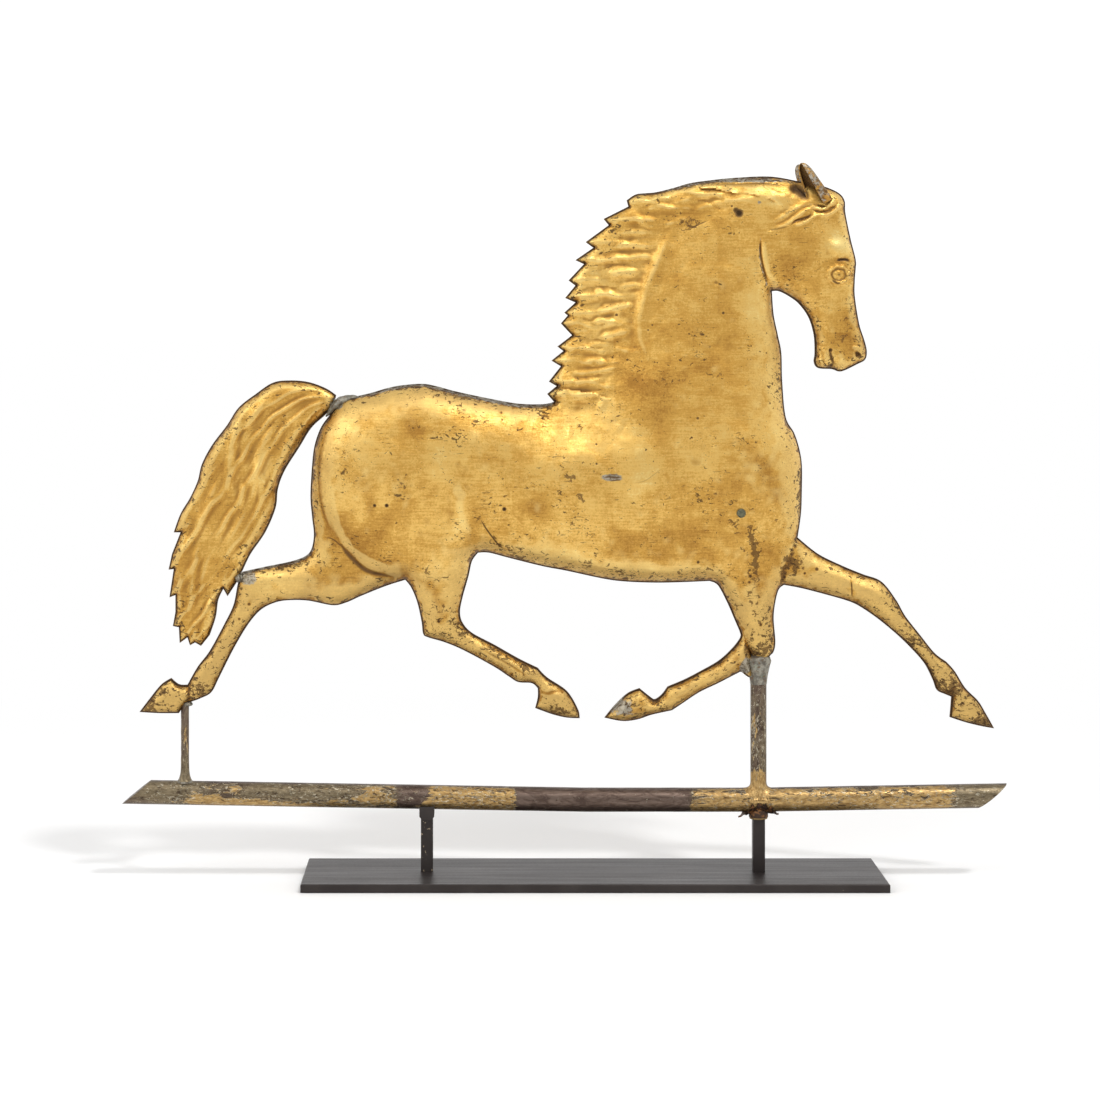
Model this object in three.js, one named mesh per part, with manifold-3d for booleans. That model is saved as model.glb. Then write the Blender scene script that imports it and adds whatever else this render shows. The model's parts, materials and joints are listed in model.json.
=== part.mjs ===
// Running-horse weathervane of gilded sheet copper, on a two-post steel display stand.
// Millimetres, +X where the horse faces, +Y its left side, +Z up.
// The origin is at the middle of the whole object's footprint, on the surface it stands on.

import * as THREE from "three";
import { mergeVertices } from "three/addons/utils/BufferGeometryUtils.js";
import Module from "manifold-3d";

const wasm = await Module();
wasm.setup();

// Horse
const horseLength = 678;
const horseHeight = 448;
const bodyHalf = 31;
const shellWall = 4;
const edgeHalf = 0.9;
const limbHalf = 2.7;
const solderRim = 2.6;
const lockDepth = 1.7;
const lockReach = 22;
const strandDepth = 1.3;
const stepWidth = 4;
const stepReach = 55;
const earLength = 36;
const earWidth = 12;
const earSpread = 19;
const earSheet = 1.5;

// Arrow bar, tube and strut
const barDiameter = 19.05;
const barWall = 1.5;
const barRearOverhang = 13.8;
const barFrontOverhang = 9.9;
const barSlant = 23;
const barRiseDegrees = 1.0;
const barJointAhead = 16;
const sleeveLength = 44;
const sleeveWall = 1.2;
const endPlateThickness = 1.2;
const horseLift = 56.7;
const tubeDiameter = 12.7;
const tubeWall = 1.1;
const tubeRise = 238;
const capLength = 9;
const capHeadThickness = 1.4;
const strutDiameter = 6.35;
const strutReach = 22;
const collarDiameter = 15.4;
const collarHeight = 3.9;
const patchLength = 32;
const patchThickness = 1.2;
const patchDepth = 19;
const strutShare = 0.0531;
const tubeShare = 0.7243;

// Rivet and strap
const rivetDiameter = 5;
const rivetHeadDiameter = 9;
const rivetHeadHeight = 2.4;
const rivetBehindTube = 14;
const strapThickness = 1.6;
const strapHeight = 16;

// Stand
const plateLength = 457.2;
const plateDepth = 101.6;
const plateThickness = 6.35;
const plateEase = 0.8;
const postSpacing = 263;
const postWidth = 9.525;
const mainPostHeight = 41.6;
const cradleWidth = 11.7;
const cradleSeatHeight = 6.6;
const cradleLipHeight = 3.8;
const cradleLipThickness = 2.6;
const cradleChamfer = 2.6;
const pinDiameter = 6.35;
const pinSeatDepth = 12;
const bushFlangeDiameter = 14.4;
const bushFlangeThickness = 1.0;
const bushNeckLength = 16;
const screwDiameter = 5;
const screwHeadDiameter = 9.4;
const screwLength = 18;

// Turns in degrees, and beads of solder as half widths along X, Y and Z
const earLeanDegrees = 28;
const earSplayDegrees = 6;
const earTurnDegrees = 100;
const tailRootBead = [8.5, 9, 5];
const hockBead = [4.5, 7, 4.5];
const kneeBead = [11.5, 10.5, 10];
const kneeSkirt = 3;
const strutFootBead = [7.5, 6, 3.6];
const strutTopBead = [5.5, 5.5, 3.6];

// Places on the horse, as shares of its length and height
const earRootShare = [0.795, 0.930];
const headShare = [0.790, 0.800];
const headReachShare = 0.115;
const tailRootShare = [0.239, 0.585];
const hockShare = [0.116, 0.267];
const shinUnderShare = [0.722, 0.092];

// Fits, then how finely outlines and rounds are divided
const fitGap = 0.3;
const overrun = 4;
const mergeDistance = 1e-4;
const flatness = 0.05;
const outlineStep = 11;
const fieldStep = 17;
const headStep = 8;
const ringStep = 3.2;
const hollowSteepness = 0.85;
// How far the round of the edge reaches, as a share of the height; and how soft the swell is
const edgeRoundShare = 1.25;
const swellSoftShare = 0.03;
const tubeSides = 20;
const pinSides = 12;
const solderSides = 12;
const superTriangle = 20;
const earRings = 5;
const earArc = 6;

// Outline of body, neck, head and the four legs, clockwise from the brow.
// Each point is a share of the horse's length from the hind toe and of its height from the fore toe.
const faceShares = [
  [0.770, 0.969], [0.786, 0.965], [0.802, 0.959], [0.818, 0.948], [0.825, 0.934], [0.826, 0.912],
  [0.832, 0.867], [0.838, 0.830], [0.838, 0.814], [0.837, 0.794], [0.837, 0.765], [0.842, 0.717],
  [0.848, 0.688], [0.851, 0.668], [0.849, 0.653], [0.840, 0.645], [0.821, 0.632], [0.810, 0.636],
  [0.794, 0.638], [0.789, 0.649], [0.790, 0.664], [0.789, 0.696], [0.783, 0.727], [0.772, 0.751],
  [0.760, 0.765], [0.748, 0.774], [0.740, 0.774],
];
const chestShares = [
  [0.740, 0.774], [0.742, 0.733], [0.747, 0.696], [0.751, 0.664], [0.752, 0.615], [0.756, 0.552],
  [0.766, 0.523], [0.772, 0.495], [0.775, 0.466], [0.775, 0.422], [0.774, 0.381], [0.770, 0.338],
];
const foreTopShares = [
  [0.770, 0.338], [0.794, 0.309], [0.822, 0.288], [0.846, 0.273], [0.868, 0.260], [0.885, 0.228],
  [0.896, 0.199], [0.913, 0.166], [0.930, 0.134], [0.944, 0.118],
];
const foreHoofShares = [
  [0.944, 0.118], [0.954, 0.101], [0.966, 0.072], [0.981, 0.049], [0.990, 0.027], [1.000, 0.000],
];
const foreSoleShares = [
  [1.000, 0.000], [0.985, 0.004], [0.966, 0.011], [0.948, 0.020],
];
const foreHeelShares = [
  [0.948, 0.020], [0.949, 0.036], [0.950, 0.056],
];
const foreUnderShares = [
  [0.950, 0.056], [0.942, 0.061], [0.933, 0.068], [0.928, 0.087], [0.918, 0.116], [0.901, 0.145],
  [0.885, 0.168], [0.865, 0.193], [0.846, 0.213], [0.832, 0.224], [0.808, 0.235], [0.775, 0.248],
  [0.754, 0.254],
];
const forearmShares = [
  [0.754, 0.254], [0.748, 0.246], [0.744, 0.224], [0.742, 0.195], [0.744, 0.154], [0.742, 0.136],
  [0.738, 0.129], [0.733, 0.119],
];
const tongueShares = [
  [0.733, 0.119], [0.724, 0.119], [0.717, 0.126], [0.708, 0.147], [0.702, 0.173],
];
const elbowShares = [
  [0.702, 0.173], [0.696, 0.194], [0.688, 0.222], [0.677, 0.253], [0.667, 0.261],
];
const bellyShares = [
  [0.667, 0.261], [0.637, 0.259], [0.604, 0.258], [0.569, 0.260], [0.543, 0.265], [0.500, 0.279],
  [0.472, 0.287], [0.432, 0.302], [0.409, 0.311], [0.396, 0.311],
];
const stifleShares = [
  [0.396, 0.311], [0.389, 0.296], [0.385, 0.270], [0.378, 0.232], [0.375, 0.206], [0.378, 0.187],
  [0.389, 0.169], [0.415, 0.148], [0.443, 0.124], [0.466, 0.107],
];
const hindHoofShares = [
  [0.466, 0.107], [0.477, 0.090], [0.500, 0.066], [0.513, 0.034], [0.515, 0.018],
];
const hindSoleShares = [
  [0.515, 0.018], [0.500, 0.019], [0.483, 0.025], [0.463, 0.036],
];
const hindHeelShares = [
  [0.463, 0.036], [0.466, 0.055], [0.466, 0.071],
];
const hindBackShares = [
  [0.466, 0.071], [0.459, 0.080], [0.443, 0.082], [0.432, 0.092], [0.415, 0.109], [0.381, 0.137],
  [0.358, 0.152], [0.338, 0.161], [0.332, 0.167], [0.330, 0.189], [0.325, 0.223], [0.318, 0.249],
  [0.311, 0.263],
];
const trailUnderShares = [
  [0.311, 0.263], [0.288, 0.252], [0.260, 0.235], [0.242, 0.223], [0.226, 0.218], [0.198, 0.226],
  [0.176, 0.227], [0.159, 0.223], [0.142, 0.210], [0.127, 0.184], [0.110, 0.141], [0.093, 0.090],
  [0.084, 0.064], [0.071, 0.053], [0.055, 0.043], [0.046, 0.027],
];
const trailSoleShares = [
  [0.046, 0.027], [0.022, 0.027], [0.000, 0.029],
];
const trailHoofShares = [
  [0.000, 0.029], [0.011, 0.051], [0.025, 0.077], [0.037, 0.089],
];
const trailCoronetShares = [
  [0.037, 0.089], [0.046, 0.078], [0.056, 0.077],
];
const trailTopShares = [
  [0.056, 0.077], [0.068, 0.109], [0.082, 0.137], [0.099, 0.184], [0.110, 0.219], [0.115, 0.256],
  [0.120, 0.277],
];
const trailThighShares = [
  [0.120, 0.277], [0.147, 0.286], [0.176, 0.295], [0.193, 0.304], [0.201, 0.317], [0.204, 0.343],
  [0.202, 0.373], [0.200, 0.412], [0.202, 0.468], [0.205, 0.502], [0.212, 0.532], [0.222, 0.554],
  [0.232, 0.574], [0.243, 0.585],
];
const backShares = [
  [0.243, 0.585], [0.254, 0.588], [0.271, 0.594], [0.289, 0.602], [0.305, 0.607], [0.330, 0.610],
  [0.347, 0.606], [0.369, 0.597], [0.409, 0.584], [0.443, 0.575], [0.472, 0.574], [0.485, 0.578],
];
const maneTeethShares = [
  [0.485, 0.578], [0.477, 0.592], [0.488, 0.606], [0.479, 0.614], [0.493, 0.641], [0.482, 0.651],
  [0.496, 0.668], [0.489, 0.676], [0.506, 0.696], [0.493, 0.717], [0.501, 0.731], [0.497, 0.736],
  [0.510, 0.754], [0.498, 0.762], [0.510, 0.784], [0.502, 0.793], [0.520, 0.822], [0.510, 0.829],
  [0.531, 0.851], [0.522, 0.861], [0.549, 0.891], [0.543, 0.902], [0.572, 0.924], [0.570, 0.935],
];
const crestShares = [
  [0.570, 0.935], [0.582, 0.946], [0.603, 0.949], [0.625, 0.957], [0.643, 0.965], [0.665, 0.970],
  [0.697, 0.975], [0.738, 0.977], [0.770, 0.969],
];
const tailTopShares = [
  [0.230, 0.590], [0.218, 0.602], [0.198, 0.613], [0.176, 0.616], [0.156, 0.612], [0.136, 0.592],
  [0.116, 0.568], [0.102, 0.536], [0.085, 0.502], [0.073, 0.468], [0.068, 0.438], [0.059, 0.408],
  [0.048, 0.380], [0.040, 0.347],
];
const tailTeethShares = [
  [0.040, 0.347], [0.048, 0.347], [0.038, 0.309], [0.034, 0.281], [0.040, 0.282], [0.035, 0.232],
  [0.042, 0.236], [0.042, 0.206], [0.039, 0.181], [0.046, 0.179], [0.047, 0.151], [0.056, 0.161],
  [0.059, 0.147], [0.065, 0.152], [0.072, 0.146], [0.082, 0.165],
];
const tailUnderShares = [
  [0.082, 0.165], [0.089, 0.197], [0.092, 0.227], [0.098, 0.247],
];
const tailTipShares = [
  [0.098, 0.247], [0.103, 0.234], [0.113, 0.257],
];
const tailFrontShares = [
  [0.113, 0.257], [0.120, 0.278], [0.130, 0.309], [0.147, 0.347], [0.159, 0.390], [0.162, 0.425],
  [0.170, 0.457], [0.187, 0.498], [0.201, 0.532], [0.218, 0.556], [0.228, 0.573],
];
const tailRootShares = [
  [0.228, 0.574], [0.230, 0.590],
];
const shinShares = [
  [0.704, 0.169], [0.702, 0.158], [0.692, 0.139], [0.677, 0.119], [0.655, 0.100], [0.637, 0.086],
  [0.618, 0.074],
];
const shinPasternShares = [
  [0.618, 0.074], [0.611, 0.060], [0.604, 0.052], [0.600, 0.053], [0.585, 0.071],
];
const shinHoofShares = [
  [0.585, 0.071], [0.571, 0.062], [0.556, 0.041], [0.544, 0.019],
];
const shinSoleShares = [
  [0.544, 0.019], [0.565, 0.013], [0.583, 0.016], [0.599, 0.024], [0.623, 0.032],
];
const shinUnderShares = [
  [0.623, 0.032], [0.634, 0.043], [0.655, 0.064], [0.677, 0.080], [0.700, 0.098], [0.704, 0.100],
  [0.711, 0.092], [0.717, 0.089],
];
const shinKneeShares = [
  [0.717, 0.089], [0.731, 0.096], [0.733, 0.112], [0.723, 0.113], [0.714, 0.121], [0.705, 0.144],
  [0.704, 0.169],
];
const haunchShares = [
  [0.224, 0.545], [0.212, 0.489], [0.211, 0.429], [0.218, 0.373], [0.232, 0.335], [0.249, 0.305],
  [0.269, 0.283], [0.289, 0.274], [0.309, 0.270],
];
const foreCreaseShares = [
  [0.747, 0.247], [0.750, 0.271], [0.761, 0.305], [0.770, 0.339],
];
const jawShares = [
  [0.728, 0.879], [0.724, 0.839], [0.728, 0.806], [0.738, 0.778],
];
const flankShares = [
  [0.311, 0.264], [0.328, 0.293], [0.352, 0.310], [0.375, 0.317], [0.396, 0.311],
];
const armpitShares = [
  [0.667, 0.261], [0.697, 0.270], [0.726, 0.264], [0.753, 0.254],
];

// Places with the half thickness there, as a share of the deepest half thickness
const swellShares = [
  [0.492, 0.440, 1.00], [0.586, 0.422, 1.02], [0.398, 0.457, 0.94], [0.293, 0.457, 0.98],
  [0.281, 0.563, 0.70], [0.703, 0.457, 1.00], [0.680, 0.333, 0.82], [0.644, 0.581, 0.84],
  [0.680, 0.758, 0.66], [0.703, 0.882, 0.54], [0.498, 0.670, 0.20], [0.510, 0.776, 0.19],
  [0.539, 0.882, 0.19], [0.586, 0.936, 0.22], [0.656, 0.953, 0.28], [0.486, 0.590, 0.30],
  [0.767, 0.847, 0.48], [0.814, 0.909, 0.38], [0.820, 0.679, 0.34], [0.814, 0.758, 0.33],
  [0.720, 0.245, 0.46], [0.722, 0.142, 0.36], [0.785, 0.280, 0.42], [0.843, 0.245, 0.34],
  [0.914, 0.121, 0.26], [0.966, 0.041, 0.30], [0.352, 0.298, 0.66], [0.352, 0.227, 0.44],
  [0.352, 0.174, 0.32], [0.410, 0.130, 0.26], [0.457, 0.094, 0.28], [0.486, 0.045, 0.30],
  [0.235, 0.271, 0.50], [0.176, 0.263, 0.38], [0.129, 0.245, 0.30], [0.100, 0.156, 0.25],
  [0.065, 0.068, 0.28], [0.030, 0.045, 0.30],
];
const tailSwellShares = [
  [0.215, 0.605, 0.20], [0.165, 0.570, 0.30], [0.115, 0.500, 0.34], [0.085, 0.400, 0.32],
  [0.075, 0.310, 0.26], [0.070, 0.220, 0.20], [0.060, 0.170, 0.12],
];
const shinSwellShares = [
  [0.715, 0.130, 0.33], [0.656, 0.085, 0.24], [0.616, 0.062, 0.27], [0.574, 0.039, 0.30],
];
// Muscles: place, reach along length and height, and rise as a share of the deepest half thickness
const muscleShares = [
  [0.272, 0.470, 0.075, 0.130, 0.13], [0.697, 0.455, 0.055, 0.140, 0.10],
  [0.763, 0.843, 0.034, 0.056, 0.11], [0.352, 0.330, 0.035, 0.075, 0.12],
  [0.722, 0.262, 0.022, 0.060, 0.08], [0.424, 0.370, 0.030, 0.110, -0.09],
  [0.650, 0.320, 0.028, 0.080, -0.07], [0.818, 0.804, 0.010, 0.014, 0.07],
  [0.845, 0.668, 0.010, 0.016, 0.05], [0.809, 0.700, 0.016, 0.050, -0.05],
];
// The near thigh and shoulder stand in front of the far legs: a step down across each line,
// as line, depth as a share of the deepest half thickness
const rightSteps = [
  { line: haunchShares, depthShare: 0.20 },
  { line: foreCreaseShares, depthShare: 0.16 },
  { line: jawShares, depthShare: 0.12 },
];
const leftSteps = [
  { line: flankShares, depthShare: 0.20 },
  { line: armpitShares, depthShare: 0.16 },
  { line: jawShares, depthShare: 0.12 },
];

// Locks of the mane, each from its root on the neck to a tooth of the edge
const maneLockShares = [
  [[0.560, 0.560], [0.515, 0.585], [0.478, 0.590]], [[0.572, 0.600], [0.520, 0.612], [0.481, 0.613]],
  [[0.580, 0.640], [0.525, 0.648], [0.485, 0.650]], [[0.586, 0.672], [0.530, 0.672], [0.491, 0.675]],
  [[0.590, 0.706], [0.540, 0.712], [0.495, 0.716]], [[0.594, 0.738], [0.545, 0.738], [0.499, 0.735]],
  [[0.597, 0.770], [0.550, 0.768], [0.500, 0.761]], [[0.600, 0.800], [0.555, 0.798], [0.505, 0.792]],
  [[0.606, 0.830], [0.560, 0.832], [0.513, 0.828]], [[0.616, 0.858], [0.570, 0.862], [0.524, 0.860]],
  [[0.634, 0.884], [0.590, 0.896], [0.546, 0.901]], [[0.664, 0.905], [0.620, 0.925], [0.574, 0.934]],
  [[0.735, 0.920], [0.680, 0.940], [0.610, 0.952]], [[0.775, 0.930], [0.720, 0.955], [0.660, 0.966]],
];
const tailStrandShares = [
  [[0.226, 0.592], [0.190, 0.600], [0.150, 0.570], [0.105, 0.500], [0.072, 0.420], [0.043, 0.352]],
  [[0.224, 0.588], [0.185, 0.580], [0.145, 0.535], [0.105, 0.440], [0.068, 0.350], [0.038, 0.284]],
  [[0.222, 0.582], [0.190, 0.560], [0.155, 0.500], [0.115, 0.400], [0.070, 0.300], [0.038, 0.236]],
  [[0.220, 0.578], [0.195, 0.540], [0.165, 0.460], [0.125, 0.350], [0.075, 0.250], [0.042, 0.184]],
  [[0.220, 0.574], [0.200, 0.525], [0.172, 0.430], [0.135, 0.320], [0.088, 0.230], [0.050, 0.154]],
  [[0.220, 0.570], [0.204, 0.510], [0.178, 0.400], [0.145, 0.300], [0.105, 0.220], [0.062, 0.150]],
  [[0.222, 0.566], [0.206, 0.490], [0.180, 0.370], [0.150, 0.290], [0.118, 0.235], [0.075, 0.148]],
];

// Places worked out from the sizes above
const barLength = barRearOverhang + horseLength + barFrontOverhang;
const horseRearX = barRearOverhang - barLength / 2;
const spindleX = horseRearX + tubeShare * horseLength;
const mainPostTopZ = plateThickness + mainPostHeight;
const collarBottomZ = mainPostTopZ + bushFlangeThickness + 2 * fitGap;
const barAxisZ = collarBottomZ + collarHeight + barDiameter / 2;
const toeZ = barAxisZ + horseLift;
const tubeTopZ = barAxisZ + tubeRise;
const jointX = barJointAhead;
const strutX = horseRearX + strutShare * horseLength;
const cradleX = spindleX - postSpacing;
const plateX = spindleX - postSpacing / 2;
const tubeBore = tubeDiameter / 2 - tubeWall;
const rivetX = spindleX - rivetBehindTube;
const rivetZ = tubeTopZ - strapHeight / 2 - fitGap;
const riseSlope = Math.tan(THREE.MathUtils.degToRad(barRiseDegrees));

const at = ([lengthShare, heightShare]) => new THREE.Vector2(
  horseRearX + lengthShare * horseLength, toeZ + heightShare * horseHeight);

// Plane geometry

function toLine(point, line) {
  let best = { distance: Infinity };
  for (let i = 0; i + 1 < line.length; i++) {
    const along = line[i + 1].clone().sub(line[i]);
    const offset = point.clone().sub(line[i]);
    const t = THREE.MathUtils.clamp(offset.dot(along) / along.lengthSq(), 0, 1);
    const distance = offset.distanceTo(along.clone().multiplyScalar(t));
    if (distance < best.distance) best = { distance, side: Math.sign(along.cross(offset)), at: i + t };
  }
  return best;
}

function contains(outline, point) {
  let inside = false;
  for (let i = 0, j = outline.length - 1; i < outline.length; j = i++) {
    const [a, b] = [outline[i], outline[j]];
    if ((a.y > point.y) !== (b.y > point.y)
      && point.x < a.x + (b.x - a.x) * (point.y - a.y) / (b.y - a.y)) inside = !inside;
  }
  return inside;
}

function stretch(shares, step) {
  const curve = new THREE.SplineCurve(shares.map(at));
  return curve.getSpacedPoints(Math.max(1, Math.round(curve.getLength() / step)));
}

// Joins stretches end to end, counterclockwise; the teeth keep their own corners
function closedOutline(stretches, teeth, step) {
  const outline = stretches.flatMap((shares) =>
    (teeth.includes(shares) ? shares.map(at) : stretch(shares, step)).slice(0, -1));
  return THREE.ShapeUtils.isClockWise(outline) ? outline.reverse() : outline;
}

function circumcircle(a, b, c) {
  const [bx, by, cx, cy] = [b.x - a.x, b.y - a.y, c.x - a.x, c.y - a.y];
  const twice = 2 * (bx * cy - by * cx);
  const x = (cy * (bx * bx + by * by) - by * (cx * cx + cy * cy)) / twice;
  const y = (bx * (cx * cx + cy * cy) - cx * (bx * bx + by * by)) / twice;
  return { x: a.x + x, y: a.y + y, squared: x * x + y * y };
}

// Delaunay triangles of a set of points, by adding one point at a time
function delaunay(points) {
  const bounds = new THREE.Box2().setFromPoints(points);
  const middle = bounds.getCenter(new THREE.Vector2());
  const far = superTriangle * bounds.getSize(new THREE.Vector2()).length();
  const around = [0, 1, 2].map((corner) => new THREE.Vector2(far, 0)
    .rotateAround(new THREE.Vector2(), corner * Math.PI * 2 / 3).add(middle));
  const all = [...points, ...around];
  const make = (a, b, c) => ({ corners: [a, b, c], circle: circumcircle(all[a], all[b], all[c]) });
  let triangles = [make(points.length, points.length + 1, points.length + 2)];
  points.forEach((point, index) => {
    const rim = new Map();
    triangles = triangles.filter(({ corners, circle }) => {
      const away = (point.x - circle.x) ** 2 + (point.y - circle.y) ** 2;
      if (away >= circle.squared) return true;
      corners.forEach((from, i) => {
        const to = corners[(i + 1) % 3];
        if (!rim.delete(`${to},${from}`)) rim.set(`${from},${to}`, [from, to]);
      });
      return false;
    });
    for (const [from, to] of rim.values()) triangles.push(make(from, to, index));
  });
  return triangles.map(({ corners }) => corners).filter((corners) => Math.max(...corners) < points.length);
}

// Fills an outline with triangles that keep its edges and use the points inside it
function fill(outline, inner) {
  let ring = outline;
  for (;;) {
    const points = [...ring, ...inner];
    const triangles = delaunay(points).filter((corners) => {
      const centre = corners.reduce((sum, i) => sum.add(points[i]), new THREE.Vector2()).divideScalar(3);
      return contains(ring, centre);
    });
    const edges = new Set(triangles.flatMap(([a, b, c]) => [`${a},${b}`, `${b},${c}`, `${c},${a}`]));
    const split = ring.flatMap((point, i) => {
      const next = (i + 1) % ring.length;
      return edges.has(`${i},${next}`) ? [point] : [point, point.clone().lerp(ring[next], 1 / 2)];
    });
    if (split.length === ring.length) return { points, triangles, ringCount: ring.length };
    ring = split;
  }
}

// Points inside an outline: a row along its edge, chosen lines, then an even field
function scatter(outline, lines, stepAt, ringOffset) {
  const closed = [...outline, outline[0]];
  const kept = [];
  const place = (point, clear, offEdge) => {
    if (!contains(outline, point) || toLine(point, closed).distance < offEdge) return;
    if (kept.every((other) => other.distanceToSquared(point) > clear * clear)) kept.push(point);
  };
  for (const line of lines) {
    const curve = new THREE.SplineCurve(line);
    const count = Math.round(curve.getLength() / headStep);
    curve.getSpacedPoints(count).forEach((point) => place(point, headStep / 2, ringOffset / 2));
  }
  outline.forEach((point, i) => {
    if (!ringOffset) return;
    const before = outline[(i + outline.length - 1) % outline.length];
    const along = outline[(i + 1) % outline.length].clone().sub(before).normalize();
    const inward = new THREE.Vector2(-along.y, along.x).multiplyScalar(ringOffset);
    place(point.clone().add(inward), ringOffset, ringOffset * 0.9);
  });
  const bounds = new THREE.Box2().setFromPoints(outline);
  const grid = headStep / 3;
  for (let z = bounds.min.y; z < bounds.max.y; z += grid) {
    for (let x = bounds.min.x; x < bounds.max.x; x += grid) {
      const shift = Math.sin((x * 3 + z * 7) / grid) * grid / 5;
      const point = new THREE.Vector2(x + shift, z - shift);
      place(point, stepAt(point), stepAt(point) / 2);
    }
  }
  return kept;
}

// Solids

function toSolid(geometry) {
  const bare = geometry.clone();
  bare.deleteAttribute("normal");
  bare.deleteAttribute("uv");
  const merged = mergeVertices(bare, mergeDistance);
  const kept = [];
  for (let i = 0; i < merged.index.count; i += 3) {
    const [a, b, c] = [0, 1, 2].map((corner) => merged.index.getX(i + corner));
    if (a !== b && b !== c && c !== a) kept.push(a, b, c);
  }
  return new wasm.Manifold(new wasm.Mesh({
    numProp: 3,
    vertProperties: merged.attributes.position.array,
    triVerts: new Uint32Array(kept),
  }));
}

function toGeometry(solid) {
  const mesh = solid.getMesh();
  const geometry = new THREE.BufferGeometry();
  geometry.setAttribute("position", new THREE.BufferAttribute(mesh.vertProperties, 3));
  geometry.setIndex(new THREE.BufferAttribute(mesh.triVerts, 1));
  geometry.computeVertexNormals();
  return geometry;
}

// Cuts a piece by the clearances of its neighbours and keeps the largest part that is left
function seatAgainst(piece, clearances) {
  return clearances.reduce((left, clearance) => left.subtract(clearance), piece).simplify(flatness)
    .decompose().reduce((most, part) => (part.volume() > most.volume() ? part : most));
}

// Closed body through rings of equal count, each end capped across the ring
function loft(rings) {
  const count = rings[0].length;
  const faces = [];
  for (let r = 0; r + 1 < rings.length; r++) {
    for (let k = 0; k < count; k++) {
      const [a, b] = [r * count + k, r * count + (k + 1) % count];
      faces.push([a, b, b + count], [a, b + count, a + count]);
    }
  }
  const end = (rings.length - 1) * count;
  for (let k = 0; k < count / 2 - 1; k++) {
    const [a, b, c, d] = [k, k + 1, count - 2 - k, count - 1 - k];
    faces.push([a, d, b], [b, d, c], [end + a, end + b, end + d], [end + b, end + c, end + d]);
  }
  const points = rings.flat();
  const volume = faces.reduce((sum, [a, b, c]) =>
    sum + points[a].dot(new THREE.Vector3().crossVectors(points[b], points[c])), 0);
  const geometry = new THREE.BufferGeometry().setFromPoints(points);
  geometry.setIndex(faces.flatMap(([a, b, c]) => (volume > 0 ? [a, b, c] : [a, c, b])));
  return toSolid(geometry);
}

// The filled outline with its edge moved outwards by the fitting gap
function grownOutline({ points, triangles, ringCount }) {
  const grown = points.map((point, i) => {
    if (i >= ringCount) return point;
    const before = points[(i + ringCount - 1) % ringCount];
    const along = points[(i + 1) % ringCount].clone().sub(before).normalize();
    return point.clone().add(new THREE.Vector2(along.y, -along.x).multiplyScalar(fitGap));
  });
  return { points: grown, triangles, ringCount };
}

// Closed solid over a filled outline, between a front and a back surface given as heights along Y
function slab({ points, triangles, ringCount }, frontAt, backAt) {
  const front = points.map((point, i) => [point.x, frontAt(i, point), point.y]);
  const back = points.map((point, i) => [point.x, backAt(i, point), point.y]);
  const count = points.length;
  const index = [];
  for (const [a, b, c] of triangles) index.push(a, b, c, c + count, b + count, a + count);
  for (let i = 0; i < ringCount; i++) {
    const next = (i + 1) % ringCount;
    index.push(next, i, next + count, i, i + count, next + count);
  }
  const geometry = new THREE.BufferGeometry();
  geometry.setAttribute("position", new THREE.Float32BufferAttribute([...front, ...back].flat(), 3));
  geometry.setIndex(index);
  return toSolid(geometry);
}

function rod(radius, length, sides) {
  return new THREE.CylinderGeometry(radius, radius, length, sides);
}

function uprightRod(radius, bottom, top, sides) {
  return toSolid(rod(radius, top - bottom, sides).rotateX(Math.PI / 2).translate(0, 0, (bottom + top) / 2));
}

function crossRod(radius, length, sides) {
  return toSolid(rod(radius, length, sides));
}

function block(width, depth, height) {
  return toSolid(new THREE.BoxGeometry(width, depth, height));
}

// Relief of the stamped halves

const smooth = (value) => THREE.MathUtils.smoothstep(value, -1, 1);

function blended(places, point) {
  let [sum, weights] = [0, 0];
  for (const [lengthShare, heightShare, share] of places) {
    const distance = at([lengthShare, heightShare]).distanceTo(point) / bodyHalf;
    const weight = 1 / (distance ** 3 + swellSoftShare);
    sum += weight * share;
    weights += weight;
  }
  return bodyHalf * sum / weights;
}

function rounded(distance, height) {
  const t = Math.min(1, distance / (height * edgeRoundShare));
  return edgeHalf + (height - edgeHalf) * Math.sqrt(t * (2 - t));
}

// How far a point is onto the ridge of its nearest lock: 1 on the ridge, -1 in the groove
function lockWave(lines, point, reach) {
  const near = lines.map((line) => toLine(point, line).distance).sort((a, b) => a - b);
  return Math.cos(2 * Math.PI * near[0] / (near[0] + near[1])) * Math.max(0, 1 - near[0] / reach);
}

function bodyRelief(outline, steps) {
  const closed = [...outline, outline[0]];
  const lines = steps.map(({ line, depthShare }) => ({ line: line.map(at), depth: depthShare * bodyHalf }));
  const locks = maneLockShares.map((line) => line.map(at));
  return (point, plain = false) => {
    const edge = toLine(point, closed).distance;
    let height = blended(swellShares, point);
    for (const [lengthShare, heightShare, alongShare, upShare, riseShare] of muscleShares) {
      const offset = at([lengthShare, heightShare]).sub(point);
      const away = (offset.x / (alongShare * horseLength)) ** 2 + (offset.y / (upShare * horseHeight)) ** 2;
      height += riseShare * bodyHalf * Math.exp(-away);
    }
    for (const { line, depth } of lines) {
      const near = toLine(point, line);
      const beyond = -near.side * near.distance;
      height -= depth * smooth(beyond / stepWidth) * Math.exp(-near.distance / stepReach);
    }
    if (!plain) height += lockDepth * lockWave(locks, point, 2 * lockReach) * Math.min(1, edge / lockReach);
    return rounded(edge, Math.max(height, limbHalf));
  };
}

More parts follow.
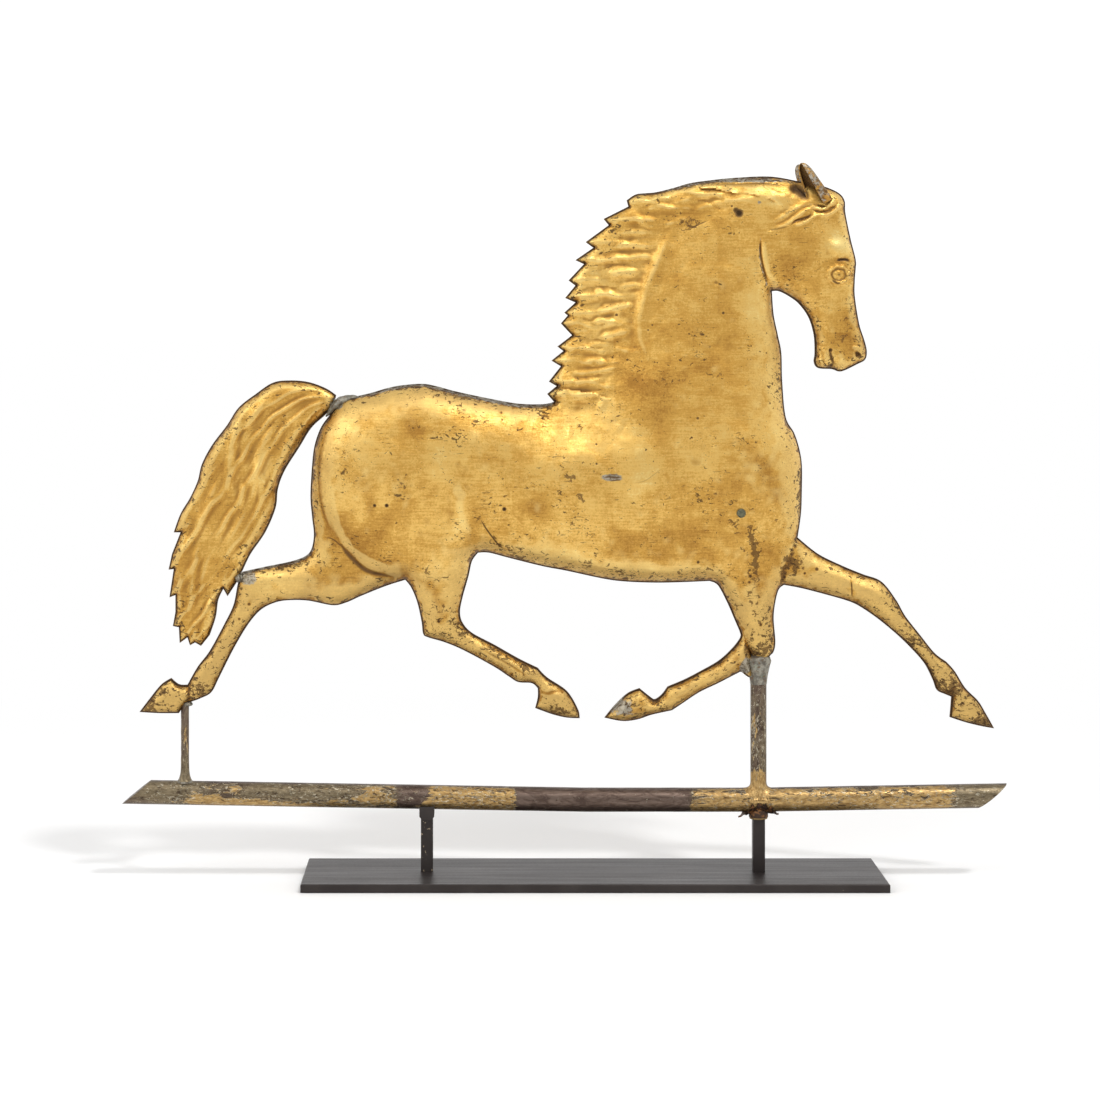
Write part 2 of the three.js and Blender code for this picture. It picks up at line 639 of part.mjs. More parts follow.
function tailRelief(outline) {
  const closed = [...outline, outline[0]];
  const strands = tailStrandShares.map((line) => line.map(at));
  return (point, plain = false) => {
    const edge = toLine(point, closed).distance;
    let height = blended(tailSwellShares, point);
    if (!plain) height += strandDepth * lockWave(strands, point, lockReach) * Math.min(1, edge / lockReach);
    return rounded(edge, Math.max(height, limbHalf));
  };
}

// One stamped half, hollow, and its clearance: the same form without the hollow, a gap larger all round
function stampedHalf(outline, coarse, lines, relief, side, fineStepAt) {
  const closed = [...outline, outline[0]];
  const seam = side * fitGap / 2;
  const fine = fill(outline, scatter(outline, lines, fineStepAt, ringStep));
  const inner = fill(coarse, scatter(coarse, [], () => fieldStep, 0));
  const heights = fine.points.map((point, i) => (i < fine.ringCount ? edgeHalf : relief(point)));
  const hollow = (_, point) => {
    const edge = contains(outline, point) ? toLine(point, closed).distance : 0;
    return seam + side * Math.min(relief(point, true) - shellWall, (edge - solderRim) * hollowSteepness);
  };
  const make = (filled, far, near) => (side < 0 ? slab(filled, far, near) : slab(filled, near, far));
  const solid = make(fine, (i) => seam + side * heights[i], () => seam);
  const core = make(inner, hollow, () => -side * overrun * hollowSteepness);
  const beyond = (i) => seam + side * (heights[i] + fitGap);
  const clearance = make(grownOutline(fine), beyond, () => -side * fitGap);
  return { shell: solid.subtract(core).simplify(flatness), clearance };
}

// Outlines

const bodyStretches = [
  faceShares, chestShares, foreTopShares, foreHoofShares, foreSoleShares, foreHeelShares,
  foreUnderShares, forearmShares, tongueShares, elbowShares, bellyShares, stifleShares,
  hindHoofShares, hindSoleShares, hindHeelShares, hindBackShares, trailUnderShares,
  trailSoleShares, trailHoofShares, trailCoronetShares, trailTopShares, trailThighShares,
  backShares, maneTeethShares, crestShares,
];
const tailStretches = [
  tailTopShares, tailTeethShares, tailUnderShares, tailTipShares, tailFrontShares, tailRootShares,
];
const shinStretches = [
  shinShares, shinPasternShares, shinHoofShares, shinSoleShares, shinUnderShares, shinKneeShares,
];
const tailTeeth = [tailTeethShares, tailTipShares];
const bodyOutline = closedOutline(bodyStretches, [maneTeethShares], outlineStep);
const bodyCoarse = closedOutline(bodyStretches, [maneTeethShares], fieldStep);
const tailOutline = closedOutline(tailStretches, tailTeeth, outlineStep);
const tailCoarse = closedOutline(tailStretches, tailTeeth, fieldStep);
const shinOutline = closedOutline(shinStretches, [], headStep);
const maneLocks = maneLockShares.map((line) => line.map(at));
const tailStrands = tailStrandShares.map((line) => line.map(at));
const relief = { right: bodyRelief(bodyOutline, rightSteps), left: bodyRelief(bodyOutline, leftSteps) };

// Lines halfway between neighbouring locks, where the groove runs
const between = (locks) => locks.slice(1).map((line, i) =>
  line.map((point, k) => point.clone().lerp(locks[i][k], 1 / 2)));

// The foot and the top of each step of the relief
const besideStep = ({ line }) => [stepWidth, -stepWidth].map((aside) => {
  const points = line.map(at);
  return points.map((point, i) => {
    const along = (points[i + 1] ?? point).clone().sub(points[i - 1] ?? point).normalize();
    return point.clone().add(new THREE.Vector2(-along.y, along.x).multiplyScalar(aside));
  });
});

// Pieces of the horse

const tubeWayTopZ = tubeTopZ + capHeadThickness + 2 * fitGap;
const tubeWay = uprightRod(tubeDiameter / 2 + fitGap, toeZ, tubeWayTopZ, tubeSides).translate(spindleX, 0, 0);
const rivetWay = crossRod(rivetDiameter / 2 + fitGap, 4 * bodyHalf, pinSides).translate(rivetX, 0, rivetZ);

function stampedBody(side) {
  const [shape, steps] = side < 0 ? [relief.right, rightSteps] : [relief.left, leftSteps];
  const lines = [...maneLocks, ...between(maneLocks), ...steps.flatMap(besideStep)];
  const headAt = at(headShare);
  const headReach = headReachShare * horseLength;
  const stepAt = (point) => (point.distanceTo(headAt) < headReach ? headStep : fieldStep);
  const { shell, clearance } = stampedHalf(bodyOutline, bodyCoarse, lines, shape, side, stepAt);
  return { clearance, shell: shell.subtract(tubeWay).subtract(rivetWay) };
}

// A tail half, seated against the rump and the trailing hock
function stampedTail(side, body) {
  const lines = [...tailStrands, ...between(tailStrands)];
  const { shell, clearance } = stampedHalf(
    tailOutline, tailCoarse, lines, tailRelief(tailOutline), side, () => fieldStep);
  return { clearance, shell: seatAgainst(shell, body) };
}

// The folded lower foreleg, one soldered piece that butts against the knee and wraps the tube
function lowerForeleg(body) {
  const closed = [...shinOutline, shinOutline[0]];
  const filled = fill(shinOutline, scatter(shinOutline, [], () => headStep, ringStep));
  const heights = filled.points.map((point, i) => (i < filled.ringCount
    ? edgeHalf : rounded(toLine(point, closed).distance, blended(shinSwellShares, point))));
  const leg = slab(filled, (i) => -heights[i], (i) => heights[i]);
  const clearance = slab(grownOutline(filled), (i) => -heights[i] - fitGap, (i) => heights[i] + fitGap);
  return { clearance, solid: seatAgainst(leg, [tubeWay, ...body]) };
}

// An ear: a folded leaf of sheet, wide at the root, leaning back and open at its outer side
function ear(side, body) {
  const rings = Array.from({ length: earRings + 1 }, (_, i) => {
    const t = i / earRings;
    const width = earWidth / 2 * (1 - t) ** (2 / 3) * (1 + t) + earSheet;
    const arc = (radius, back) => Array.from({ length: earArc + 1 }, (_, k) => {
      const angle = (k / earArc - 1 / 2) * Math.PI;
      return new THREE.Vector3(back - Math.cos(angle) * radius, Math.sin(angle) * radius, t * earLength);
    });
    return [...arc(width, 0), ...arc(width - earSheet, earSheet / 2).reverse()];
  });
  const root = at(earRootShare);
  const leaf = loft(rings)
    .rotate(0, 0, side * earTurnDegrees)
    .rotate(-side * earSplayDegrees, -earLeanDegrees, 0)
    .translate(root.x, side * earSpread / 2, root.y);
  return seatAgainst(leaf, body);
}

// Lump of solder: a squashed ball, cut clear of what it joins
function solder(x, z, radii, neighbours) {
  const ball = new THREE.SphereGeometry(1, solderSides, solderSides / 2).rotateX(Math.PI / 2);
  return seatAgainst(toSolid(ball.scale(...radii).translate(x, 0, z)), neighbours);
}

// Arrow bar

// Both halves of the bar rise a little towards their tips
const barPoint = (x) => new THREE.Vector3(
  x, 0, barAxisZ + riseSlope * (x < jointX ? jointX - x : Math.max(0, x - spindleX)));

// Round bar through stations along X; slant leans the first and the last ring
function barRod(stations, radius, slants = [0, 0]) {
  const last = stations.length - 1;
  return loft(stations.map((x, i) => Array.from({ length: tubeSides }, (_, k) => {
    const angle = k / tubeSides * 2 * Math.PI;
    const lean = (i === 0 ? slants[0] : i === last ? slants[1] : 0) * Math.sin(angle) / barDiameter;
    return barPoint(x).add(new THREE.Vector3(
      lean * radius, Math.cos(angle) * radius, Math.sin(angle) * radius));
  })));
}

const barRadius = barDiameter / 2;
const barBore = barRadius - barWall;
const rearTipX = -barLength / 2 + barSlant / 2;
const frontTipX = barLength / 2 - barSlant / 2;
const rearStations = [rearTipX, jointX - fitGap / 2];
const frontStations = [jointX + fitGap / 2, spindleX, frontTipX];

function barTube(stations, slants) {
  const [from, to] = [stations[0], stations.at(-1)];
  const through = [from - overrun, ...stations.slice(1, -1), to + overrun];
  return barRod(stations, barRadius, slants).subtract(barRod(through, barBore, slants));
}

function jointSleeve() {
  const reach = sleeveLength / 2;
  const stations = [jointX - reach, jointX, jointX + reach];
  const longer = [jointX - reach - overrun, jointX, jointX + reach + overrun];
  return barRod(stations, barBore - fitGap).subtract(barRod(longer, barBore - fitGap - sleeveWall));
}

function endPlate(tipX, inward) {
  const stations = [tipX + inward * fitGap, tipX + inward * (fitGap + endPlateThickness)];
  const [low, high] = [Math.min(...stations), Math.max(...stations)];
  return barRod([low, high], barBore - fitGap, [barSlant, barSlant]);
}

// Ring round the tube's foot, fitted to the underside of the bar
function socketCollar(bar) {
  const ring = uprightRod(collarDiameter / 2, collarBottomZ, barAxisZ, tubeSides).translate(spindleX, 0, 0);
  return seatAgainst(ring, [spindleWay, bar]);
}

// Sheet patch hugging the bar's underside round the collar
function socketPatch() {
  const stations = [spindleX - patchLength / 2, spindleX, spindleX + patchLength / 2];
  const longer = [stations[0] - overrun, spindleX, stations[2] + overrun];
  const wrap = barRod(stations, barRadius + fitGap + patchThickness)
    .subtract(barRod(longer, barRadius + fitGap));
  const below = block(patchLength + overrun, patchDepth, barDiameter)
    .translate(spindleX, 0, barAxisZ - barDiameter / 2);
  const collarWay = uprightRod(collarDiameter / 2 + fitGap, collarBottomZ, barAxisZ, tubeSides)
    .translate(spindleX, 0, 0);
  return wrap.intersect(below).subtract(collarWay);
}

// Spindle

// Turned piece about the spindle's axis, from radius and height pairs
function turned(profile, sides) {
  const points = profile.map(([radius, z]) => new THREE.Vector2(radius, z));
  return toSolid(new THREE.LatheGeometry(points, sides).rotateX(Math.PI / 2));
}

const spindleWay = uprightRod(tubeDiameter / 2 + fitGap, plateThickness, tubeTopZ, tubeSides)
  .translate(spindleX, 0, 0);
const capBottomZ = tubeTopZ - capLength;
const dimpleDepth = pinDiameter / 2;
const pinRadius = pinDiameter / 2;

function spindleTube() {
  const outer = tubeDiameter / 2;
  return turned([[tubeBore, collarBottomZ], [outer, collarBottomZ], [outer, tubeTopZ],
    [tubeBore, tubeTopZ], [tubeBore, collarBottomZ]], tubeSides);
}

// Plug in the top of the tube, with the cup that rests on the pin's point
function tubeCap() {
  const neck = tubeBore - fitGap;
  const seatZ = tubeTopZ + fitGap;
  return turned([[0, capBottomZ + dimpleDepth], [dimpleDepth, capBottomZ], [neck, capBottomZ],
    [neck, seatZ], [tubeDiameter / 2, seatZ], [tubeDiameter / 2, seatZ + capHeadThickness - fitGap],
    [0, seatZ + capHeadThickness - fitGap]], tubeSides);
}

function spindlePin() {
  const bottom = mainPostTopZ - pinSeatDepth;
  const tip = capBottomZ + dimpleDepth - fitGap;
  return turned([[0, bottom], [pinRadius, bottom], [pinRadius, tip - pinRadius], [0, tip]], pinSides);
}

// Flanged bush: runs on the pin, its neck inside the tube and its flange under the collar
function pivotBush() {
  const [bore, neck, flange] = [pinRadius + fitGap, tubeBore - fitGap, bushFlangeDiameter / 2];
  const bottom = mainPostTopZ + fitGap;
  const shoulder = bottom + bushFlangeThickness;
  return turned([[bore, bottom], [flange, bottom], [flange, shoulder], [neck, shoulder],
    [neck, shoulder + bushNeckLength], [bore, shoulder + bushNeckLength], [bore, bottom]], tubeSides);
}

// Band round the tube with a tail back to the rivet
function tubeStrap() {
  const inner = tubeDiameter / 2 + fitGap;
  const outer = inner + strapThickness;
  const [bottom, top] = [rivetZ - strapHeight / 2, rivetZ + strapHeight / 2];
  const band = turned(
    [[inner, bottom], [outer, bottom], [outer, top], [inner, top], [inner, bottom]], tubeSides);
  const tailLength = rivetBehindTube + rivetHeadDiameter / 2 - inner;
  const tail = block(tailLength, 2 * strapThickness, strapHeight)
    .translate(-inner - strapThickness / 2 - tailLength / 2, 0, rivetZ);
  return band.add(tail).translate(spindleX, 0, 0).subtract(rivetWay);
}

// Rivet through both halves and the strap, a domed head seated on the outside of each half
function chestRivet(halves) {
  const place = new THREE.Vector2(rivetX, rivetZ);
  const head = (side, surface, half) => {
    const crown = new THREE.SphereGeometry(rivetHeadDiameter / 2, pinSides, pinSides / 2)
      .scale(1, rivetHeadHeight / rivetHeadDiameter * 2, 1).translate(rivetX, side * surface, rivetZ);
    return seatAgainst(toSolid(crown), [half]);
  };
  const [right, left] = [relief.right(place), relief.left(place)];
  const shank = crossRod(rivetDiameter / 2, right + left + rivetHeadHeight, pinSides)
    .translate(rivetX, (left - right) / 2, rivetZ);
  return [head(-1, right, halves[0]), head(1, left, halves[1])].reduce((all, part) => all.add(part), shank);
}

// Rod from the bar up to the trailing hoof
function rearStrut(neighbours) {
  const foot = barPoint(strutX).z;
  const make = (grown) => uprightRod(grown, foot, toeZ + strutReach, pinSides).translate(strutX, 0, 0);
  const radius = strutDiameter / 2;
  return { clearance: make(radius + fitGap), solid: seatAgainst(make(radius), neighbours) };
}

// Stand

const cradleTopZ = barPoint(cradleX + cradleWidth / 2).z - barRadius - fitGap;
const cradleBottomZ = cradleTopZ - cradleSeatHeight;

function basePlate() {
  const corners = (inset, z) => [[-1, -1], [1, -1], [1, 1], [-1, 1]].map(([x, y]) => new THREE.Vector3(
    plateX + x * (plateLength / 2 - inset), y * (plateDepth / 2 - inset), z));
  const plate = loft(
    [corners(0, 0), corners(0, plateThickness - plateEase), corners(plateEase, plateThickness)]);
  return [cradleX, spindleX].reduce((left, x) => left.subtract(screwShape(fitGap, x)), plate);
}

// Countersunk screw from under the plate; grown, it is its own hole
function screwShape(grow, x) {
  const [shank, head] = [screwDiameter / 2 + grow, screwHeadDiameter / 2 + grow];
  const bottom = grow ? -overrun : fitGap;
  return turned([[0, bottom], [head, bottom], [head, fitGap + grow], [shank, fitGap + grow + head - shank],
    [shank, screwLength + grow], [0, screwLength + grow]], pinSides).translate(x, 0, 0);
}

function squarePost(x, topZ) {
  const height = topZ - plateThickness;
  return block(postWidth, postWidth, height).translate(x, 0, plateThickness + height / 2)
    .subtract(screwShape(fitGap, x));
}

function mainPost() {
  const bottom = mainPostTopZ - pinSeatDepth;
  const socket = uprightRod(pinRadius + fitGap, bottom, mainPostTopZ + overrun, pinSides);
  return squarePost(spindleX, mainPostTopZ).subtract(socket.translate(spindleX, 0, 0));
}

// Seat for the bar with a lip at the front and chamfered lower corners
function cradle() {
  const half = cradleWidth / 2;
  const chord = Math.sqrt(barRadius ** 2 - (barRadius - cradleLipHeight) ** 2) + 2 * fitGap;
  const front = (height) => new THREE.Shape([[-half, height], [-half, cradleChamfer],
    [-half + cradleChamfer, 0], [half - cradleChamfer, 0], [half, cradleChamfer], [half, height]]
    .map(([x, z]) => new THREE.Vector2(x, z)));
  const slice = (height, depth, y) => toSolid(new THREE.ExtrudeGeometry(front(height), {
    depth, bevelEnabled: false }).rotateX(Math.PI / 2).translate(cradleX, y, cradleBottomZ));
  const frontY = -chord - cradleLipThickness;
  return slice(cradleSeatHeight, 2 * chord + cradleLipThickness, chord)
    .add(slice(cradleSeatHeight + cradleLipHeight, cradleLipThickness, frontY + cradleLipThickness));
}

// Assembly

const metal = (name, color, roughness, metalness) =>
  new THREE.MeshStandardMaterial({ name, color, roughness, metalness });
const gilt = metal("gilt_copper", 0xcc9f45, 0.38, 0.85);
const wornGilt = metal("worn_bar", 0x8a6f47, 0.6, 0.6);
const solderGrey = metal("old_solder", 0x8c8a7a, 0.65, 0.5);
const copper = metal("bare_copper", 0x9a5c38, 0.5, 0.8);
const brass = metal("brass_bush", 0xb08d4a, 0.4, 0.9);
const blackSteel = metal("black_steel", 0x23211f, 0.55, 0.3);
const steel = metal("bright_steel", 0x9a9a98, 0.35, 0.9);

const rightBody = stampedBody(-1);
const leftBody = stampedBody(1);
const body = [rightBody.clearance, leftBody.clearance];
const rightTail = stampedTail(-1, body);
const leftTail = stampedTail(1, body);
const rump = [...body, rightTail.clearance, leftTail.clearance];
const shin = lowerForeleg(body);
const rearBar = barRod(rearStations, barRadius + fitGap, [barSlant, 0]);
const frontBar = barRod(frontStations, barRadius + fitGap, [0, barSlant]);
const strut = rearStrut([rearBar, ...body]);
const strutFootZ = barPoint(strutX).z + barRadius;
const strutTopZ = strut.solid.boundingBox().max[2];
const rootAt = at(tailRootShare);
const hockAt = at(hockShare);
const kneeZ = at(shinUnderShare).y - kneeSkirt + kneeBead[2];

const pieces = {
  right_body_shell: [rightBody.shell, gilt],
  left_body_shell: [leftBody.shell, gilt],
  right_tail_shell: [rightTail.shell, gilt],
  left_tail_shell: [leftTail.shell, gilt],
  right_ear: [ear(-1, body), gilt],
  left_ear: [ear(1, body), gilt],
  right_foreleg_lower: [shin.solid, gilt],
  tail_root_solder: [solder(rootAt.x, rootAt.y, tailRootBead, rump), solderGrey],
  hock_solder: [solder(hockAt.x, hockAt.y, hockBead, rump), solderGrey],
  knee_solder: [solder(spindleX, kneeZ, kneeBead, [...body, shin.clearance, spindleWay]), solderGrey],
  chest_rivet: [chestRivet(body), copper],
  tube_strap: [tubeStrap(), copper],
  spindle_tube: [spindleTube().translate(spindleX, 0, 0), wornGilt],
  tube_cap: [tubeCap().translate(spindleX, 0, 0), brass],
  bar_rear_tube: [barTube(rearStations, [barSlant, 0]), wornGilt],
  bar_front_tube: [barTube(frontStations, [0, barSlant]).subtract(spindleWay), wornGilt],
  bar_joint_sleeve: [jointSleeve(), copper],
  bar_rear_plate: [endPlate(rearTipX, 1), wornGilt],
  bar_front_plate: [endPlate(frontTipX, -1), wornGilt],
  socket_collar: [socketCollar(frontBar), copper],
  socket_patch: [socketPatch(), copper],
  rear_strut: [strut.solid, wornGilt],
  strut_foot_solder: [solder(strutX, strutFootZ, strutFootBead, [rearBar, strut.clearance]), solderGrey],
  strut_top_solder: [solder(strutX, strutTopZ, strutTopBead, [...body, strut.clearance]), solderGrey],
  pivot_bush: [pivotBush().translate(spindleX, 0, 0), brass],
  base_plate: [basePlate(), blackSteel],
  main_post: [mainPost(), blackSteel],
  spindle_pin: [spindlePin().translate(spindleX, 0, 0), steel],
  cradle_post: [squarePost(cradleX, cradleBottomZ), blackSteel],
  cradle: [cradle(), blackSteel],
  main_post_screw: [screwShape(0, spindleX), steel],
  cradle_post_screw: [screwShape(0, cradleX), steel],
};

const weathervane = new THREE.Group();
for (const [name, [solid, material]] of Object.entries(pieces)) {
  const mesh = new THREE.Mesh(toGeometry(solid), material);
  mesh.name = name;
  weathervane.add(mesh);
}

export default weathervane;
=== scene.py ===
# Looks of the running-horse weathervane: gilded sheet copper with its wear, on a black steel stand.
# Pieces are made in millimetres in the part's own frame (+X where the horse faces, +Y its left side,
# +Z up) and turned into metres when their meshes are made.

import json
import math

import bpy
import numpy as np
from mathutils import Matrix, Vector
from mathutils.geometry import delaunay_2d_cdt


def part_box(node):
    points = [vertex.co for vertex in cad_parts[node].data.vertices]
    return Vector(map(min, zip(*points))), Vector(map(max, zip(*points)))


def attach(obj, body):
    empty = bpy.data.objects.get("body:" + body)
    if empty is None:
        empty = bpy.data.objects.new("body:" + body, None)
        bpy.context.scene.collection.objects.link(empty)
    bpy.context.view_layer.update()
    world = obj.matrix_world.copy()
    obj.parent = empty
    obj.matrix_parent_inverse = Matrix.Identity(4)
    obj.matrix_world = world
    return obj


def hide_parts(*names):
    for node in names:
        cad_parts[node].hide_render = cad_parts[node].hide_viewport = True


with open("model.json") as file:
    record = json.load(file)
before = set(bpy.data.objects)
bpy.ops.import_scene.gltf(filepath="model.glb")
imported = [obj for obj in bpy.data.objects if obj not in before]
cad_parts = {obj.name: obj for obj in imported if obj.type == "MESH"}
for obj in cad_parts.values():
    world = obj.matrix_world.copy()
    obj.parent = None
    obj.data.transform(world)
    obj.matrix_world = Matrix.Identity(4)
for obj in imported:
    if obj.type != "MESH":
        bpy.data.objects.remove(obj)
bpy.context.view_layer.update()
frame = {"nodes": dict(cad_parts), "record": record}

# Sizes in millimetres

MM = 0.001
BODY_HALF = 31.0
EDGE_HALF = 0.9
LIMB_HALF = 2.7
SEAM_HALF = 0.01
FLANGE_WIDTH = 1.0
EDGE_ROUND_SHARE = 1.7
SWELL_SOFT_SHARE = 0.03
# Outlines, lines and places in the tables are given in this many parts of the horse's size
SHARE_PARTS = 1000

# Places are thousandths: of the horse's length from the hind toe, and of its height from the fore toe.

# Outlines, stretch by stretch: body, neck, head and the four legs, clockwise from the brow
body_outline_shares = {
    "face": [
        (770, 969), (786, 965), (802, 959), (818, 948), (825, 934), (826, 912), (832, 867), (838, 830),
        (838, 814), (837, 794), (837, 765), (842, 717), (848, 688), (851, 668), (849, 653), (840, 645),
        (821, 632), (810, 636), (794, 638), (789, 649), (790, 664), (789, 696), (783, 727), (772, 751),
        (760, 765), (748, 774), (740, 774),
    ],
    "chest": [
        (740, 774), (742, 733), (747, 696), (751, 664), (752, 615), (756, 552), (766, 523), (772, 495),
        (775, 466), (775, 422), (774, 381), (770, 338),
    ],
    "fore top": [
        (770, 338), (794, 309), (822, 288), (846, 273), (868, 260), (885, 228), (896, 199), (913, 166),
        (930, 134), (944, 118),
    ],
    "fore hoof": [(944, 118), (954, 101), (966, 72), (981, 49), (990, 27), (1000, 0)],
    "fore sole": [(1000, 0), (985, 4), (966, 11), (948, 20)],
    "fore heel": [(948, 20), (949, 36), (950, 56)],
    "fore under": [
        (950, 56), (942, 61), (933, 68), (928, 87), (918, 116), (901, 145), (885, 168), (865, 193),
        (846, 213), (832, 224), (808, 235), (775, 248), (754, 254),
    ],
    "forearm": [
        (754, 254), (748, 246), (744, 224), (742, 195), (744, 154), (742, 136), (738, 129), (733, 119),
    ],
    "tongue": [(733, 119), (724, 119), (717, 126), (708, 147), (702, 173)],
    "elbow": [(702, 173), (696, 194), (688, 222), (677, 253), (667, 261)],
    "belly": [
        (667, 261), (637, 259), (604, 258), (569, 260), (543, 265), (500, 279), (472, 287), (432, 302),
        (409, 311), (396, 311),
    ],
    "stifle": [
        (396, 311), (389, 296), (385, 270), (378, 232), (375, 206), (378, 187), (389, 169), (415, 148),
        (443, 124), (466, 107),
    ],
    "hind hoof": [(466, 107), (477, 90), (500, 66), (513, 34), (515, 18)],
    "hind sole": [(515, 18), (500, 19), (483, 25), (463, 36)],
    "hind heel": [(463, 36), (466, 55), (466, 71)],
    "hind back": [
        (466, 71), (459, 80), (443, 82), (432, 92), (415, 109), (381, 137), (358, 152), (338, 161),
        (332, 167), (330, 189), (325, 223), (318, 249), (311, 263),
    ],
    "trail under": [
        (311, 263), (288, 252), (260, 235), (242, 223), (226, 218), (198, 226), (176, 227), (159, 223),
        (142, 210), (127, 184), (110, 141), (93, 90), (84, 64), (71, 53), (55, 43), (46, 27),
    ],
    "trail sole": [(46, 27), (22, 27), (0, 29)],
    "trail hoof": [(0, 29), (11, 51), (25, 77), (37, 89)],
    "trail coronet": [(37, 89), (46, 78), (56, 77)],
    "trail top": [(56, 77), (68, 109), (82, 137), (99, 184), (110, 219), (115, 256), (120, 277)],
    "trail thigh": [
        (120, 277), (147, 286), (176, 295), (193, 304), (201, 317), (204, 343), (202, 373), (200, 412),
        (202, 468), (205, 502), (212, 532), (222, 554), (232, 574), (243, 585),
    ],
    "back": [
        (243, 585), (254, 588), (271, 594), (289, 602), (305, 607), (330, 610), (347, 606), (369, 597),
        (409, 584), (443, 575), (472, 574), (485, 578),
    ],
    "mane teeth": [
        (485, 578), (477, 592), (488, 606), (479, 614), (493, 641), (482, 651), (496, 668), (489, 676),
        (506, 696), (493, 717), (501, 731), (497, 736), (510, 754), (498, 762), (510, 784), (502, 793),
        (520, 822), (510, 829), (531, 851), (522, 861), (549, 891), (543, 902), (572, 924), (570, 935),
    ],
    "crest": [
        (570, 935), (582, 946), (603, 949), (625, 957), (643, 965), (665, 970), (697, 975), (738, 977),
        (770, 969),
    ],
}
tail_outline_shares = {
    "tail top": [
        (230, 590), (218, 602), (198, 613), (176, 616), (156, 612), (136, 592), (116, 568), (102, 536),
        (85, 502), (73, 468), (68, 438), (59, 408), (48, 380), (40, 347),
    ],
    "tail teeth": [
        (40, 347), (48, 347), (38, 309), (34, 281), (40, 282), (35, 232), (42, 236), (42, 206), (39, 181),
        (46, 179), (47, 151), (56, 161), (59, 147), (65, 152), (72, 146), (82, 165),
    ],
    "tail under": [(82, 165), (89, 197), (92, 227), (98, 247)],
    "tail tip": [(98, 247), (103, 234), (113, 257)],
    "tail front": [
        (113, 257), (120, 278), (130, 309), (147, 347), (159, 390), (162, 425), (170, 457), (187, 498),
        (201, 532), (218, 556), (228, 573),
    ],
    "tail root": [(228, 574), (230, 590)],
}
foreleg_outline_shares = {
    "shin": [(704, 169), (702, 158), (692, 139), (677, 119), (655, 100), (637, 86), (618, 74)],
    "pastern": [(618, 74), (611, 60), (604, 52), (600, 53), (585, 71)],
    "hoof": [(585, 71), (571, 62), (556, 41), (544, 19)],
    "sole": [(544, 19), (565, 13), (583, 16), (599, 24), (623, 32)],
    "under": [(623, 32), (634, 43), (655, 64), (677, 80), (700, 98), (704, 100), (711, 92), (717, 89)],
    "knee": [(717, 89), (718, 101), (718, 121), (715, 142), (710, 162), (706, 173), (704, 169)],
}

# Lines where the relief steps down
haunch_shares = [
    (224, 545), (212, 489), (211, 429), (218, 373), (232, 335), (249, 305), (269, 283), (289, 274),
    (309, 270),
]
fore_crease_shares = [
    (747, 247), (750, 271), (761, 305), (770, 339),
]
jaw_shares = [
    (728, 879), (724, 839), (728, 806), (738, 778),
]
flank_shares = [
    (311, 264), (328, 293), (352, 310), (375, 317), (396, 311),
]
armpit_shares = [
    (667, 261), (697, 270), (726, 264), (753, 254),
]
# Front border of the mane on the neck, downwards
mane_edge_shares = [
    (613, 874), (600, 828), (589, 774), (585, 728), (582, 677), (587, 650), (605, 636),
]

# Places with the half thickness there, as a share of the deepest half thickness
swell_shares = [
    (492, 440, 1.00), (586, 422, 1.02), (398, 457, 0.94), (293, 457, 0.98), (281, 563, 0.70),
    (703, 457, 1.00), (680, 333, 0.82), (644, 581, 0.84), (680, 758, 0.66), (703, 882, 0.54),
    (498, 670, 0.20), (510, 776, 0.19), (539, 882, 0.19), (586, 936, 0.22), (656, 953, 0.28),
    (486, 590, 0.30), (767, 847, 0.48), (814, 909, 0.38), (820, 679, 0.34), (814, 758, 0.33),
    (720, 245, 0.46), (722, 142, 0.36), (785, 280, 0.42), (843, 245, 0.34), (914, 121, 0.26),
    (966, 41, 0.30), (352, 298, 0.66), (352, 227, 0.44), (352, 174, 0.32), (410, 130, 0.26),
    (457, 94, 0.28), (486, 45, 0.30), (235, 271, 0.50), (176, 263, 0.38), (129, 245, 0.30),
    (100, 156, 0.25), (65, 68, 0.28), (30, 45, 0.30),
]
tail_swell_shares = [
    (215, 605, 0.20), (165, 570, 0.30), (115, 500, 0.34), (85, 400, 0.32), (75, 310, 0.26),
    (70, 220, 0.20), (60, 170, 0.12),
]
shin_swell_shares = [
    (715, 130, 0.33), (656, 85, 0.24), (616, 62, 0.27), (574, 39, 0.30),
]
# Muscles: place, half length and half height, and their rise as a share of that thickness
muscle_shares = [
    (272, 470, 75, 130, 0.13), (697, 455, 55, 140, 0.10), (763, 843, 34, 56, 0.11),
    (352, 330, 35, 75, 0.12), (722, 262, 22, 60, 0.08), (424, 370, 30, 110, -0.09),
    (650, 320, 28, 80, -0.07), (818, 804, 10, 14, 0.07), (845, 668, 10, 16, 0.05),
    (809, 700, 16, 50, -0.05),
]

